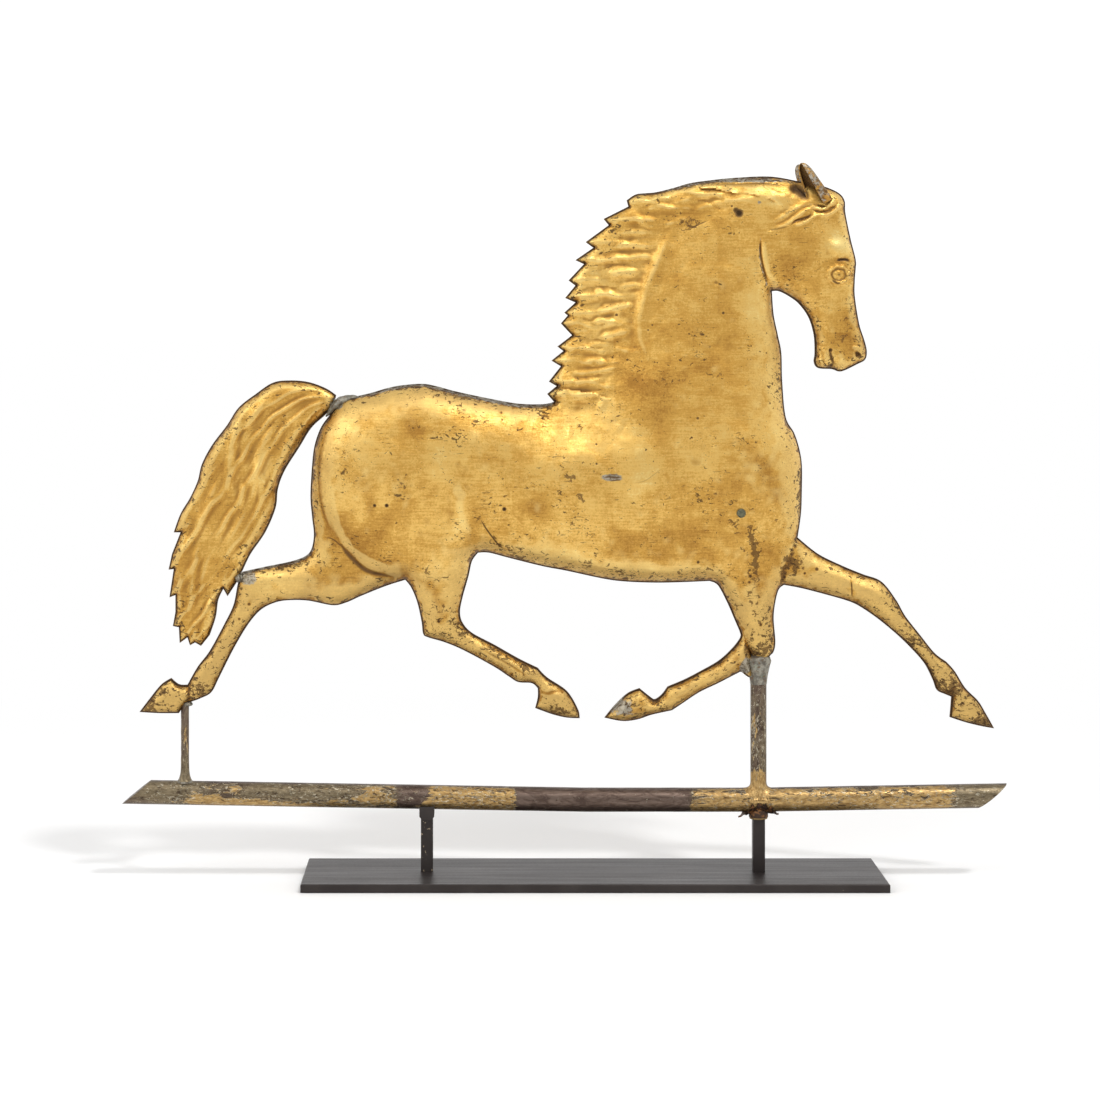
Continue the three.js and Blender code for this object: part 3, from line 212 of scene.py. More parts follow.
# Locks of the mane and strands of the tail, from root to tip
mane_lock_shares = [
    [(560, 560), (515, 585), (478, 590)], [(572, 600), (520, 612), (481, 613)],
    [(580, 640), (525, 648), (485, 650)], [(586, 672), (530, 672), (491, 675)],
    [(590, 706), (540, 712), (495, 716)], [(594, 738), (545, 738), (499, 735)],
    [(597, 770), (550, 768), (500, 761)], [(600, 800), (555, 798), (505, 792)],
    [(606, 830), (560, 832), (513, 828)], [(616, 858), (570, 862), (524, 860)],
    [(634, 884), (590, 896), (546, 901)], [(664, 905), (620, 925), (574, 934)],
    [(735, 920), (680, 940), (610, 952)], [(775, 930), (720, 955), (660, 966)],
]
tail_strand_shares = [
    [(226, 592), (190, 600), (150, 570), (105, 500), (72, 420), (43, 352)],
    [(224, 588), (185, 580), (145, 535), (105, 440), (68, 350), (38, 284)],
    [(222, 582), (190, 560), (155, 500), (115, 400), (70, 300), (38, 236)],
    [(220, 578), (195, 540), (165, 460), (125, 350), (75, 250), (42, 184)],
    [(220, 574), (200, 525), (172, 430), (135, 320), (88, 230), (50, 154)],
    [(220, 570), (204, 510), (178, 400), (145, 300), (105, 220), (62, 150)],
    [(222, 566), (206, 490), (180, 370), (150, 290), (118, 235), (75, 148)],
]

# Grooves: points, half width and depth in millimetres, and how much dirt and painted shade they hold
groove_shares = [
    ([(757, 886), (764, 896), (773, 901), (780, 905), (788, 914)], 1.1, 1.2, 0.6),  # forelock slit
    # The pocket behind the ear is darkened fully: partly the hole the ear goes into, partly painted shadow
    # of the ear
    ([(755, 958), (768, 953), (776, 943), (784, 933)], 3.8, 2.2, 1.0),  # pocket behind the ear
    # seam round the cheek
    ([(726, 877), (724, 852), (726, 826), (731, 798), (737, 778)], 0.75, 0.6, 0.5),
    ([(567, 440), (586, 441), (600, 454), (617, 473)], 0.6, 0.12, 0.28),  # cuts through the leaf
    ([(614, 596), (606, 557), (596, 521), (589, 489)], 0.6, 0.1, 0.2),
    ([(538, 447), (547, 449), (555, 448), (565, 449)], 0.7, 0.15, 0.75),
    ([(546, 441), (554, 443), (564, 444)], 0.6, 0.12, 0.6),
    ([(544, 452), (552, 453), (561, 453)], 0.5, 0.1, 0.45),
    ([(503, 546), (500, 493), (504, 447)], 0.6, 0.08, 0.15),
    ([(728.7, 879), (743.9, 883.4), (760.3, 889.6)], 1.0, 0.7, 0.35),  # lock line behind the cheek
    ([(780, 925), (790, 915), (801, 914), (811, 922), (818, 937)], 1.3, 0.9, 0.35),  # forelock wave
    # forelock wave above
    ([(768.5, 914.4), (780.2, 923.3), (794.3, 925.1), (806, 920.6), (815.3, 923.3)], 1.2, 0.7, 0.25),
    ([(811, 827), (818, 829), (826, 829), (831, 824)], 1.2, 1.2, 1.0),  # upper eyelid fold
    ([(807.1, 795.7), (813, 788.7), (820, 786.9)], 0.9, 0.6, 0.6),  # lower eyelid fold
    ([(806, 677.1), (807.1, 662.9), (809.5, 650.5), (813, 639)], 1.2, 1.1, 0.6),  # mouth
    ([(796.6, 671.7), (797.8, 657.6), (800.1, 641.6)], 1.3, 0.7, 0.25),  # lip
    ([(834.1, 668.2), (838.8, 663.8), (844.6, 656.7)], 1.5, 1.4, 0.7),  # nostril
    ([(787.2, 687.7), (794.3, 678.8), (803.6, 677.1)], 1.4, 0.5, 0.15),  # chin fold
    # jaw line
    ([(726.3, 877.2), (724.4, 856), (724.7, 836.5), (728.7, 808.1), (736.9, 781.6)], 0.9, 0.7, 0.35),
    # flank crack
    ([(396.1, 383), (404.3, 360), (412.5, 342.2), (421.9, 324.5), (432.4, 315.7)], 0.55, 0.3, 0.9),
    ([(215.8, 336.9), (222.8, 339.6), (231, 333.4), (240.4, 319.2)], 0.55, 0.3, 0.6),  # thigh crack
    ([(830.6, 267.8), (831.7, 248.4), (832.3, 230.6)], 0.5, 0.3, 0.8),  # foreleg crack
    # neck crack
    ([(629.2, 898.5), (637.4, 896.7), (644.4, 886.1), (656.1, 893.2), (670.1, 902)], 0.5, 0.3, 0.55),
    ([(222, 539), (213, 493), (211, 431), (218, 374), (232, 333)], 1.5, 0.9, 0.3),  # haunch groove
    ([(228, 348), (238, 325), (251, 302), (267, 282), (288, 273), (308, 268)], 1.9, 1.0, 0.6),
    ([(768.5, 333.4), (761.5, 310.4), (754.4, 287.3), (748.6, 255.4)], 2.2, 0.9, 0.3),  # arm crease
    ([(669, 266.1), (677.2, 248.4), (688.9, 216.5)], 2.0, 0.6, 0.1),  # elbow crease
    ([(702.9, 142.1), (712.3, 124.4), (722.8, 119)], 1.2, 0.6, 0.6),  # near knee
    ([(935.9, 67.7), (946.5, 65.9), (957, 78.3), (967.6, 67.7)], 1.8, 0.9, 0.35),  # fetlock
    ([(466.4, 71.2), (475.8, 64.1), (487.5, 67.7), (498, 64.1)], 1.6, 0.7, 0.25),  # hind fetlock
    ([(54.2, 76.5), (58.9, 60.6), (54.2, 44.6)], 1.8, 0.9, 0.35),  # trail fetlock
    ([(656.1, 960.5), (691.2, 962.3), (732.2, 964), (768.5, 958.7)], 1.2, 0.7, 0.3),  # crest under edge
    ([(396.1, 145.6), (421.9, 124.4), (441.8, 106.6), (454.7, 92.5)], 1.4, 0.6, 0.3),  # hind tendon
]
# Ridges: points, half width and height in millimetres
ridge_shares = [
    # neck front of the mane
    ([(626, 893), (613, 854), (598, 803), (588, 762), (583, 711), (589, 670), (605, 645)], 4.2, 1.9),
    ([(674.8, 932.2), (708.8, 935.7), (743.9, 937.5), (769.7, 926.8)], 9.0, 1.6),  # crest band
    ([(730, 877), (744, 884), (757, 894), (773, 912), (787, 923)], 1.9, 1.4),  # locks below the ear
    ([(736, 893), (750, 904), (764, 918), (780, 930)], 2.3, 1.2),
    ([(761, 886), (776, 895), (787, 906), (799, 910)], 1.6, 1.3),
    ([(779, 930), (787, 922), (799, 920), (808, 929), (813, 945)], 1.7, 1.6),
    ([(791, 907), (804, 909), (815, 920), (822, 937)], 1.8, 1.4),
    ([(803.6, 838.3), (813, 849), (823.5, 849), (832.9, 834)], 7.5, 1.9),  # brow
    # cheek rim
    ([(731, 871.9), (728.7, 847.1), (732.2, 815.2), (741.6, 785.1), (755.6, 772.7)], 3.5, 1.2),
    ([(827, 776.3), (830.6, 740.8), (835.2, 705.4)], 4.0, 0.9),  # bridge of the nose
    ([(801.3, 758.5), (807.1, 719.6), (811.8, 684.1)], 4.5, 0.9),  # face bone
    ([(817.7, 670), (820, 652.3), (822.4, 641.6)], 3.0, 0.7),  # upper lip
    ([(829.4, 675.3), (841.1, 671.7), (848.1, 661.1)], 2.0, 0.8),  # nostril wing
    ([(791.9, 666.4), (793.1, 648.7)], 2.5, 0.7),  # chin
    # haunch rim
    ([(224, 457), (228, 395), (239, 344), (253, 317), (273, 298), (298, 287), (317, 287)], 3.2, 0.9),
    ([(372.7, 457.4), (375.1, 395.4), (382.1, 354.7), (390.3, 324.5)], 6.0, 1.5),  # stifle
    ([(732.2, 554.8), (749.8, 524.7), (759.1, 489.3)], 10.0, 1.2),  # shoulder point
    ([(705.3, 298), (714.6, 227.1), (720.5, 156.2)], 7.0, 1.0),  # near forearm
    ([(787.2, 283.8), (822.4, 262.5), (861, 234.2), (890.3, 188.1)], 7.0, 1.2),  # far forearm
    ([(899.6, 177.5), (919.6, 142.1), (941.8, 99.6)], 4.0, 0.7),  # far cannon
    ([(377.4, 166.9), (410.2, 138.5), (443, 113.7), (468.7, 92.5)], 4.0, 0.9),  # hind cannon
    ([(122.1, 241.3), (108.1, 195.2), (87, 135), (68.3, 85.4)], 4.5, 0.9),  # trail cannon
    ([(222.8, 262.5), (187.7, 266.1), (150.2, 262.5)], 8.0, 1.2),  # trail gaskin
    ([(492.2, 305), (539, 287.3), (597.5, 280.2), (656.1, 283.8)], 8.0, 0.8),  # belly fold
    ([(948.8, 67.7), (962.9, 80.1), (972.2, 64.1)], 2.2, 0.8),  # far coronet
    ([(469.9, 80.1), (484, 81.8), (496.8, 67.7)], 2.2, 0.7),  # hind coronet
    ([(39, 78.3), (50.7, 67.7), (55.4, 50)], 2.2, 0.8),  # trail coronet
]
# Ridges of the mane and crest
mane_ridge_shares = [
    ([(593, 934), (607, 938), (623, 937)], 2.6, 1.3),
    ([(560, 897), (581, 901), (612, 897)], 2.8, 1.3),
    ([(553, 874), (576, 878), (602, 875)], 2.5, 1.2),
    ([(546, 849), (574, 854), (607, 852)], 2.6, 1.5),
    ([(530, 826), (546, 829), (565, 824)], 2.4, 0.8),
    ([(544, 803), (565, 809), (588, 806)], 3.2, 1.7),
    ([(494, 778), (509, 782), (525, 781)], 2.2, 0.8),
    ([(530, 776), (544, 771), (558, 774)], 2.2, 0.8),
    ([(558, 778), (574, 784), (593, 783)], 2.6, 1.2),
    ([(532, 737), (553, 744), (581, 751)], 2.9, 1.6),
    ([(527, 718), (541, 722), (558, 720)], 2.2, 1.3),
    ([(534, 689), (555, 697), (576, 705)], 3.2, 1.8),
    ([(504, 697), (516, 704), (530, 704)], 2.0, 0.7),
    ([(520, 674), (537, 680), (555, 677)], 2.4, 0.9),
    ([(518, 645), (532, 652), (548, 647)], 2.8, 1.5),
    ([(499, 631), (520, 629), (544, 635), (565, 643)], 2.4, 1.4),
    ([(504, 608), (523, 615), (544, 619)], 2.4, 0.9),
    ([(492, 596), (516, 590), (546, 597)], 2.2, 0.9),
    ([(511, 755), (523, 760), (539, 759)], 2.0, 0.8),
    ([(569, 833), (586, 836), (602, 833)], 2.2, 0.9),
    ([(560, 670), (574, 666), (588, 670)], 2.4, 0.7),
    ([(633, 950), (656, 957), (682, 960)], 2.4, 0.9),
    ([(619, 925), (644, 937), (675, 946), (709, 950)], 2.6, 1.1),
    ([(644, 913), (670, 927), (703, 934)], 2.4, 0.8),
    ([(586, 914), (605, 922), (628, 920)], 2.4, 0.9),
    ([(609, 886), (628, 897), (649, 906)], 2.4, 0.7),
]
# Ridges of the tail
tail_ridge_shares = [
    ([(169, 567), (160, 539), (146, 500), (138, 457), (134, 418), (129, 383)], 3.8, 1.9),
    ([(129, 574), (117, 539), (110, 500), (107, 461), (106, 429), (113, 397)], 4.2, 2.1),
    ([(178, 521), (169, 493), (161, 464), (157, 429)], 3.0, 1.2),
    ([(131, 404), (121, 372), (110, 342), (94, 309), (80, 280)], 3.8, 1.5),
    ([(94, 443), (86, 411), (76, 381), (62, 351)], 3.4, 1.3),
    ([(74, 340), (67, 305), (63, 266), (61, 227), (59, 188)], 3.2, 1.5),
    ([(196, 546), (185, 526), (175, 498), (165, 466)], 2.6, 1.1),
    ([(155, 585), (143, 571), (130, 539), (123, 496), (121, 457)], 3.4, 1.2),
    ([(154, 404), (148, 383), (137, 353), (124, 317), (115, 289)], 3.4, 1.2),
    ([(108, 298), (100, 263), (94, 227), (85, 190), (75, 160)], 3.2, 1.4),
    ([(67, 181), (64, 163), (62, 153)], 2.0, 1.0),
    ([(101, 351), (89, 321), (80, 296), (74, 263), (72, 227)], 3.0, 1.1),
    ([(59, 355), (52, 332), (46, 305), (41, 284)], 2.8, 1.0),
    ([(209, 588), (192, 597), (174, 588), (155, 569), (142, 548)], 3.4, 1.0),
    ([(218, 585), (205, 567), (188, 548), (178, 532)], 3.0, 1.0),
    ([(136, 585), (117, 558), (102, 521), (89, 482), (80, 450)], 3.6, 1.3),
    ([(75, 454), (67, 426), (58, 397), (50, 369)], 3.2, 1.2),
    ([(51, 287), (47, 255), (46, 227), (47, 195)], 2.4, 1.0),
    ([(86, 227), (80, 199), (73, 170)], 2.2, 0.8),
    ([(144, 457), (144, 426), (141, 397)], 2.4, 0.9),
    ([(121, 443), (121, 411), (117, 383)], 2.4, 0.8),
]
# Pits: place, radius and depth in millimetres, and how much dirt and painted shade they hold
pit_shares = [
    ((276.7, 398.9), 1.3, 0.4, 0.9), ((290.7, 398.9), 1.5, 0.5, 1.0), ((426.6, 391.9), 1.6, 0.5, 1.0),
    ((699.4, 910.9), 3.2, 0.5, 1.0), ((695.9, 916.2), 2.2, 0.3, 0.8), ((691.2, 923.3), 0.9, 0.3, 0.8),
    ((650.2, 551.3), 1.2, 0.3, 0.6), ((643.2, 517.6), 0.9, 0.3, 0.8), ((533.1, 505.2), 0.9, 0.3, 0.8),
    ((533.1, 471.6), 0.9, 0.3, 0.8), ((680.7, 735.5), 1.1, 0.3, 0.8), ((672.5, 788.7), 2.0, 0.5, 0.3),
    ((651.4, 298), 1.2, 0.4, 0.8), ((712.3, 273.2), 1.3, 0.4, 0.8), ((711.1, 262.5), 1.1, 0.4, 0.7),
    ((725.2, 186.4), 1.2, 0.4, 0.7), ((790.7, 283.8), 1.4, 0.3, 0.7), ((776.7, 276.7), 1.0, 0.3, 0.8),
    ((753.3, 269.6), 1.2, 0.4, 0.8), ((807.1, 670), 1.5, 0.8, 0.8), ((808.3, 643.4), 1.4, 0.7, 0.8),
    ((838.8, 661.1), 1.9, 1.2, 0.7), ((832.9, 801.1), 1.0, 0.4, 0.4), ((598.7, 714.3), 0.8, 0.2, 0.7),
    ((594, 705.4), 0.8, 0.2, 0.7), ((605.7, 758.5), 0.7, 0.2, 0.6), ((557.7, 732), 1.2, 0.3, 0.7),
    ((556.6, 875.5), 0.9, 0.3, 0.7), ((577.6, 850.7), 0.9, 0.3, 0.7), ((330.6, 195.2), 1.1, 0.3, 0.7),
    ((350.5, 191.7), 1.2, 0.3, 0.8), ((336.4, 174), 1.0, 0.3, 0.7), ((129.2, 221.8), 1.2, 0.3, 0.6),
    ((117.4, 195.2), 1.0, 0.3, 0.6), ((423.1, 560.1), 0.9, 0.2, 0.6), ((424.2, 547.7), 0.7, 0.2, 0.7),
]

# Worn patches: place, half length and half height in millimetres, and how brown and how bare
patch_shares = [
    ((709, 112), 6, 7, 0.0, 1.1), ((709, 140), 2, 9, 0.8, 0.0), ((321, 535), 8, 6, 0.25, 0.3),
    ((240, 457), 5, 4, 0.55, 0.25), ((516, 534), 6, 5, 0.45, 0.0), ((502, 450), 5, 5, 0.6, 0.1),
    ((516, 411), 6, 5, 0.65, 0.1), ((469, 560), 6, 5, 0.4, 0.2), ((552, 450), 6, 1.6, 0.75, 0.2),
    ((723, 930), 2.6, 2.0, 0.0, 0.7), ((348, 567), 16, 7, 0.1, 0.35), ((581, 677), 14, 20, 0.2, 0.0),
    ((605, 617), 26, 3, 0.42, 0.0), ((311, 422), 10, 16, 0.35, 0.0), ((492, 351), 26, 10, 0.25, 0.0),
    ((717, 298), 7, 34, 0.5, 0.0), ((705, 333), 6, 16, 0.4, 0.05), ((729, 146), 10, 8, 0.6, 0.3),
    ((764, 294), 9, 10, 0.6, 0.1), ((352, 209), 9, 14, 0.4, 0.0), ((334, 289), 14, 8, 0.4, 0.0),
    ((340, 528), 60, 6, 0.1, 0.0), ((902, 156), 10, 14, 0.4, 0.0), ((949, 68), 12, 14, 0.6, 0.0),
    ((990, 11), 12, 8, 0.8, 0.1), ((492, 29), 20, 7, 0.6, 0.0), ((12, 45), 9, 10, 0.8, 0.1),
    ((31, 68), 8, 7, 0.4, 0.0), ((71, 71), 10, 9, 0.5, 0.15), ((127, 268), 9, 7, 0.2, 0.9),
    ((167, 294), 26, 3.0, 0.2, 0.6), ((230, 574), 7, 6, 0.2, 0.9), ((709, 969), 46, 2.0, 0.3, 0.8),
    ((644, 897), 14, 6, 0.4, 0.0), ((672, 759), 5, 20, 0.25, 0.1), ((670, 599), 10, 26, 0.25, 0.0),
    ((818, 688), 14, 14, 0.35, 0.0), ((829, 705), 8, 26, 0.35, 0.0), ((562, 40), 18, 11, 0.5, 0.66),
    ((445, 404), 34, 22, 0.2, 0.0), ((656, 387), 16, 30, 0.2, 0.0), ((551, 448), 9.5, 3.4, 0.3, 0.98),
    ((105, 20), 9, 7, 0.55, 0.35),
]
# Worn lines: points, half width in millimetres, and how brown and how bare
worn_line_shares = [
    ([(243, 587), (271, 596), (305, 607), (329, 611), (347, 606), (369, 597), (409, 583), (443, 574),
      (480, 575)], 3.3, 0.95, 0.74),
    ([(586, 948), (624, 956), (664, 969), (697, 975), (737, 976)], 2.6, 0.95, 0.6),
    ([(123, 278), (175, 294), (192, 302), (202, 317)], 2.4, 0.6, 0.6),
    ([(772, 457), (773, 381), (770, 344)], 3.0, 0.62, 0.15),
    ([(769, 342), (760, 312), (752, 277), (749, 254)], 4.0, 0.55, 0.1),
    ([(710, 360), (715, 325), (719, 289)], 2.6, 0.85, 0.1),
    ([(691, 372), (696, 342), (704, 319)], 3.5, 0.55, 0.05),
    ([(712, 245), (717, 201), (715, 156)], 2.0, 0.6, 0.0),
    ([(733, 884), (745, 900), (757, 913), (772, 922), (788, 928), (801, 920), (813, 924),
      (820, 937)], 1.2, 0.35, 0.42),
    ([(725, 872), (723, 847), (725, 819), (733, 782)], 1.0, 0.5, 0.5),
    ([(469, 289), (499, 280), (543, 266), (605, 259), (656, 261)], 5.0, 0.42, 0.0),
    ([(469, 309), (527, 291), (586, 278), (644, 278), (691, 287)], 7.5, 0.3, 0.0),
    ([(409, 332), (436, 325), (475, 310)], 4.0, 0.35, 0.0),
    ([(415, 342), (424, 332), (435, 314), (446, 302), (454, 296)], 1.5, 0.62, 0.1),
    ([(240, 220), (276, 240), (311, 257)], 4.0, 0.35, 0.0),
    ([(366, 298), (360, 254), (363, 201), (377, 170)], 7.0, 0.22, 0.0),
    ([(717, 245), (724, 192), (729, 139)], 6.0, 0.25, 0.0),
    ([(115, 248), (103, 206), (87, 163), (71, 117)], 5.0, 0.4, 0.0),
    ([(884, 218), (908, 170), (931, 130)], 5.0, 0.4, 0.0),
    ([(398, 156), (428, 130), (457, 107)], 5.0, 0.4, 0.0),
]
# Lighter and darker gilding, partly leaf tone and partly painted highlights and painted shade: place, half
# length and half height in millimetres, turn in degrees, and how much lighter or darker
light_and_tone_shares = [
    ((325, 532), 9, 6, -30, -1.0), ((466, 396), 10, 8, 0, -0.8), ((272, 396), 4, 7, 0, -0.9),
    ((817, 826), 9, 3.5, 10, -0.8), ((716, 745), 16, 40, 0, 0.8), ((400, 588), 42, 6, -6, -0.8),
    ((539, 537), 29, 24, 0, 0.8), ((592, 480), 16, 14, 0, 0.4), ((619, 457), 48, 10, -71, -0.6),
    ((612, 608), 27, 14, 0, -0.3), ((565, 603), 17, 7, 0, -0.4), ((732, 514), 11, 13, -20, 0.75),
    ((732, 450), 24, 7, -60, -0.7), ((617, 286), 37, 6, 0, 1.0), ((527, 303), 48, 6, -12, 0.9),
    ((325, 580), 34, 8, 4, -0.8), ((223, 435), 6, 46, -4, -0.55), ((243, 340), 7, 27, 33, -0.55),
    ((285, 292), 23, 7, -27, -0.55), ((439, 564), 37, 7, -9, -0.6), ((353, 475), 17, 12, 0, 0.5),
    ((374, 360), 6, 12, -20, 0.9), ((391, 369), 5, 19, -10, -0.6), ((232, 418), 10, 12, 0, 0.6),
    ((235, 535), 6, 6, 0, 0.3), ((291, 408), 7, 6, 0, 0.6), ((395, 466), 24, 17, 0, -0.55),
    ((317, 525), 11, 17, 0, -0.35), ((293, 346), 21, 14, 0, -0.5), ((739, 930), 10, 6, -10, 0.75),
    ((719, 755), 10, 10, 0, 0.7), ((695, 759), 17, 44, 0, -0.25), ((757, 815), 14, 12, 0, -0.4),
    ((827, 705), 6, 22, 0, -0.4), ((600, 346), 32, 9, 0, -0.4), ((695, 227), 6, 16, 0, 0.1),
    ((717, 280), 10, 22, 0, -0.45), ((791, 286), 17, 6, -25, 0.4), ((147, 254), 17, 6, 8, 0.2),
    ((129, 537), 9, 24, -25, 0.5), ((143, 454), 6, 19, -10, 0.7), ((108, 472), 7, 24, 10, 0.45),
    ((86, 537), 6, 22, -35, -0.5), ((134, 356), 12, 10, 0, -0.5), ((71, 259), 6, 10, 0, -0.5),
    ((767, 457), 4, 29, 0, 0.4), ((818, 858), 9, 9, 0, 1.0), ((644, 909), 17, 6, 10, -0.4),
    ((662, 475), 10, 24, -70, 0.3), ((492, 457), 24, 11, 0, 0.25), ((797, 922), 8, 3, 15, 0.6),
    ((572, 41), 21, 11, 0, -0.9), ((490, 50), 14, 10, 0, -0.45), ((978, 39), 14, 13, 0, -0.5),
    ((30, 53), 17, 11, 0, -0.3), ((88, 165), 11, 32, -30, -0.35), ((896, 156), 11, 27, 40, -0.25),
    ((404, 130), 27, 8, -28, -0.2), ((340, 201), 11, 19, 0, -0.2),
]

# The horse's place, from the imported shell

def corners(node):
    """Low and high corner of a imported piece, in millimetres."""
    return [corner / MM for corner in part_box(node)]


shell_low, shell_high = corners("right_body_shell")
top_share = max(height for _, height in body_outline_shares["crest"]) / SHARE_PARTS
horse_length = shell_high.x - shell_low.x
horse_height = (shell_high.z - shell_low.z) / top_share


def at(shares):
    """Places in millimetres, from thousandths of the horse's length and height."""
    places = np.array(shares, float).reshape(-1, 2) / SHARE_PARTS
    return places * (horse_length, horse_height) + (shell_low.x, shell_low.z)


# Plane geometry

CURVE_DIVISIONS = 24
CELL = 14.0
WAVE_COUNT = 28
WAVE_SIZES = (0.7, 1.6)


def smooth_curve(points, step):
    """Even points along a smooth curve through the given ones."""
    padded = np.vstack([points[:1], points, points[-1:]])
    spans = []
    for before, start, end, after in zip(padded, padded[1:], padded[2:], padded[3:]):
        t = np.linspace(0, 1, CURVE_DIVISIONS, endpoint=False)[:, None]
        leave, arrive = (end - before) / 2, (after - start) / 2
        spans.append((2 * start - 2 * end + leave + arrive) * t ** 3
                     + (3 * end - 3 * start - 2 * leave - arrive) * t ** 2 + leave * t + start)
    return even_steps(np.vstack(spans + [points[-1:]]), step)


def even_steps(points, step):
    """Even points along a polyline."""
    lengths = np.concatenate([[0], np.cumsum(np.hypot(*np.diff(points, axis=0).T))])
    wanted = np.linspace(0, lengths[-1], max(1, round(lengths[-1] / step)) + 1)
    return np.column_stack([np.interp(wanted, lengths, points[:, axis]) for axis in (0, 1)])


def corners_kept(points, step):
    """Even points along straight lines between corners that stay."""
    pieces = [even_steps(np.array(pair), step)[:-1] for pair in zip(points, points[1:])]
    return np.vstack(pieces + [points[-1:]])


def closed_outline(stretches, straight, step):
    """Stretches joined end to end, counterclockwise; those named as straight keep their corners."""
    rows = []
    for name, shares in stretches.items():
        make = corners_kept if name in straight else smooth_curve
        rows.append(make(at(shares), step)[:-1])
    outline = np.vstack(rows)
    following = np.roll(outline, -1, axis=0)
    area = np.sum(outline[:, 0] * following[:, 1] - outline[:, 1] * following[:, 0])
    return outline if area > 0 else outline[::-1]


def closed_line(outline):
    """An outline as a polyline that ends where it starts."""
    return np.vstack([outline, outline[:1]])


def left_of(along):
    """Unit vectors square to the given ones, on their left."""
    along = along / np.hypot(along[:, 0], along[:, 1])[:, None]
    return np.column_stack([-along[:, 1], along[:, 0]])


def to_line(points, line):
    """Distance to a polyline, the side (+1 on its left) and how far along the nearest place is.

    Points are taken cell by cell, each against the segments that can be nearest to it."""
    result = np.zeros((3, len(points)))
    if not len(points):
        return result
    cells = np.floor(points / CELL).astype(int)
    order = np.lexsort(cells.T)
    breaks = np.where(np.any(np.diff(cells[order], axis=0), axis=1))[0] + 1
    starts, spans = line[:-1], line[1:] - line[:-1]
    squares = np.maximum((spans ** 2).sum(axis=1), 1e-9)
    middles, reach = starts + spans / 2, np.sqrt(squares) / 2
    slack = 2 * CELL / math.sqrt(2)
    for group in np.split(order, breaks):
        away = np.hypot(*(middles - (cells[group[0]] + 0.5) * CELL).T)
        picked = np.where(away - reach < (away + reach).min() + slack)[0]
        span = spans[picked]
        offset = points[group][:, None] - starts[picked]
        t = np.clip((offset * span).sum(axis=2) / squares[picked], 0, 1)
        gap = offset - t[:, :, None] * span
        distance = np.sqrt((gap ** 2).sum(axis=2))
        nearest = distance.argmin(axis=1)
        index = np.arange(len(group))
        offset, span = offset[index, nearest], span[nearest]
        result[0, group] = distance[index, nearest]
        result[1, group] = np.sign(span[:, 0] * offset[:, 1] - span[:, 1] * offset[:, 0])
        result[2, group] = (picked[nearest] + t[index, nearest]) / len(spans)
    return result


def inside(points, outline):
    """Which points lie inside a closed outline."""
    result = np.zeros(len(points), bool)
    for a, b in zip(outline, np.roll(outline, 1, axis=0)):
        if a[1] == b[1]:
            continue
        crosses = (a[1] > points[:, 1]) != (b[1] > points[:, 1])
        x = a[0] + (b[0] - a[0]) * (points[:, 1] - a[1]) / (b[1] - a[1])
        result ^= crosses & (points[:, 0] < x)
    return result


def smooth_step(value):
    """From 0 at -1 to 1 at 1."""
    t = np.clip((value + 1) / 2, 0, 1)
    return t * t * (3 - 2 * t)


def bell(points, place, halves):
    """1 at a place, falling off over the given half sizes."""
    return np.exp(-(((points - at(place)) / halves) ** 2).sum(axis=1))


def rings_at(away, rows):
    """Sum of round rims from rows of distance, width and height."""
    return sum(height * np.exp(-((away - place) / width) ** 2) for place, width, height in rows)


def ripple(points, size, seed):
    """Smooth random field of about unit height, from waves in many directions.

    size is the length of a wave in the units of the points."""
    random = np.random.default_rng(seed)
    angles = random.uniform(0, 2 * math.pi, WAVE_COUNT)
    pitch = 2 * math.pi / (size * random.uniform(*WAVE_SIZES, WAVE_COUNT))
    phases = random.uniform(0, 2 * math.pi, WAVE_COUNT)
    total = np.zeros(len(points))
    for angle, number, phase in zip(angles, pitch, phases):
        across = points[:, 0] * math.cos(angle) + points[:, 1] * math.sin(angle)
        total += np.cos(across * number + phase)
    return total / math.sqrt(WAVE_COUNT / 2)


def ripples(points, rows):
    """Sum of ripples from rows of height, size and seed."""
    return sum(height * ripple(points, size, seed) for height, size, seed in rows)


# Fine triangles over an outline

RIM_OFFSETS = (0.5, 1.0, 1.35, 2.0)
ROW_KEPT_SHARE = 0.9


def hexagonal(low, high, spacing):
    """Even field of points between two corners."""
    rows = np.arange(low[1], high[1], spacing * math.sqrt(3) / 2)
    columns = np.arange(low[0], high[0], spacing)
    x, z = np.meshgrid(columns, rows)
    x[1::2] += spacing / 2
    return np.column_stack([x.ravel(), z.ravel()])


def fine_points(outline, levels, extra):
    """Points inside an outline: rows along its edge, the given extra ones, then even fields.

    levels pairs a spacing with a test that says where it holds."""
    closed = closed_line(outline)
    inward = left_of(np.roll(outline, -1, axis=0) - np.roll(outline, 1, axis=0))
    kept = [outline]

    def keep(points, least):
        points = points[inside(points, outline)]
        kept.append(points[to_line(points, closed)[0] > least])

    for offset in RIM_OFFSETS:
        keep(outline + inward * offset, ROW_KEPT_SHARE * offset)
    if len(extra):
        keep(extra, RIM_OFFSETS[-1])
    for spacing, holds in levels:
        field = hexagonal(outline.min(0), outline.max(0), spacing)
        keep(field[holds(field)], RIM_OFFSETS[-1] + spacing / 2)
    return np.vstack(kept)


def triangulate(points, ring_count):
    """Points and triangles inside the ring that the first points make, and what each point was."""
    ring = list(range(ring_count))
    result = delaunay_2d_cdt([Vector(p) for p in points], [], [ring], 1, 1e-5)
    places = np.array([tuple(v) for v in result[0]])
    triangles = np.array([face for face in result[2] if len(face) == 3], int)
    source = [min(group) if group else ring_count for group in result[3]]
    return places, triangles, np.array(source)


def edges_of(triangles):
    pairs = np.vstack([triangles[:, [0, 1]], triangles[:, [1, 2]], triangles[:, [2, 0]]])
    return np.unique(np.sort(pairs, axis=1), axis=0)


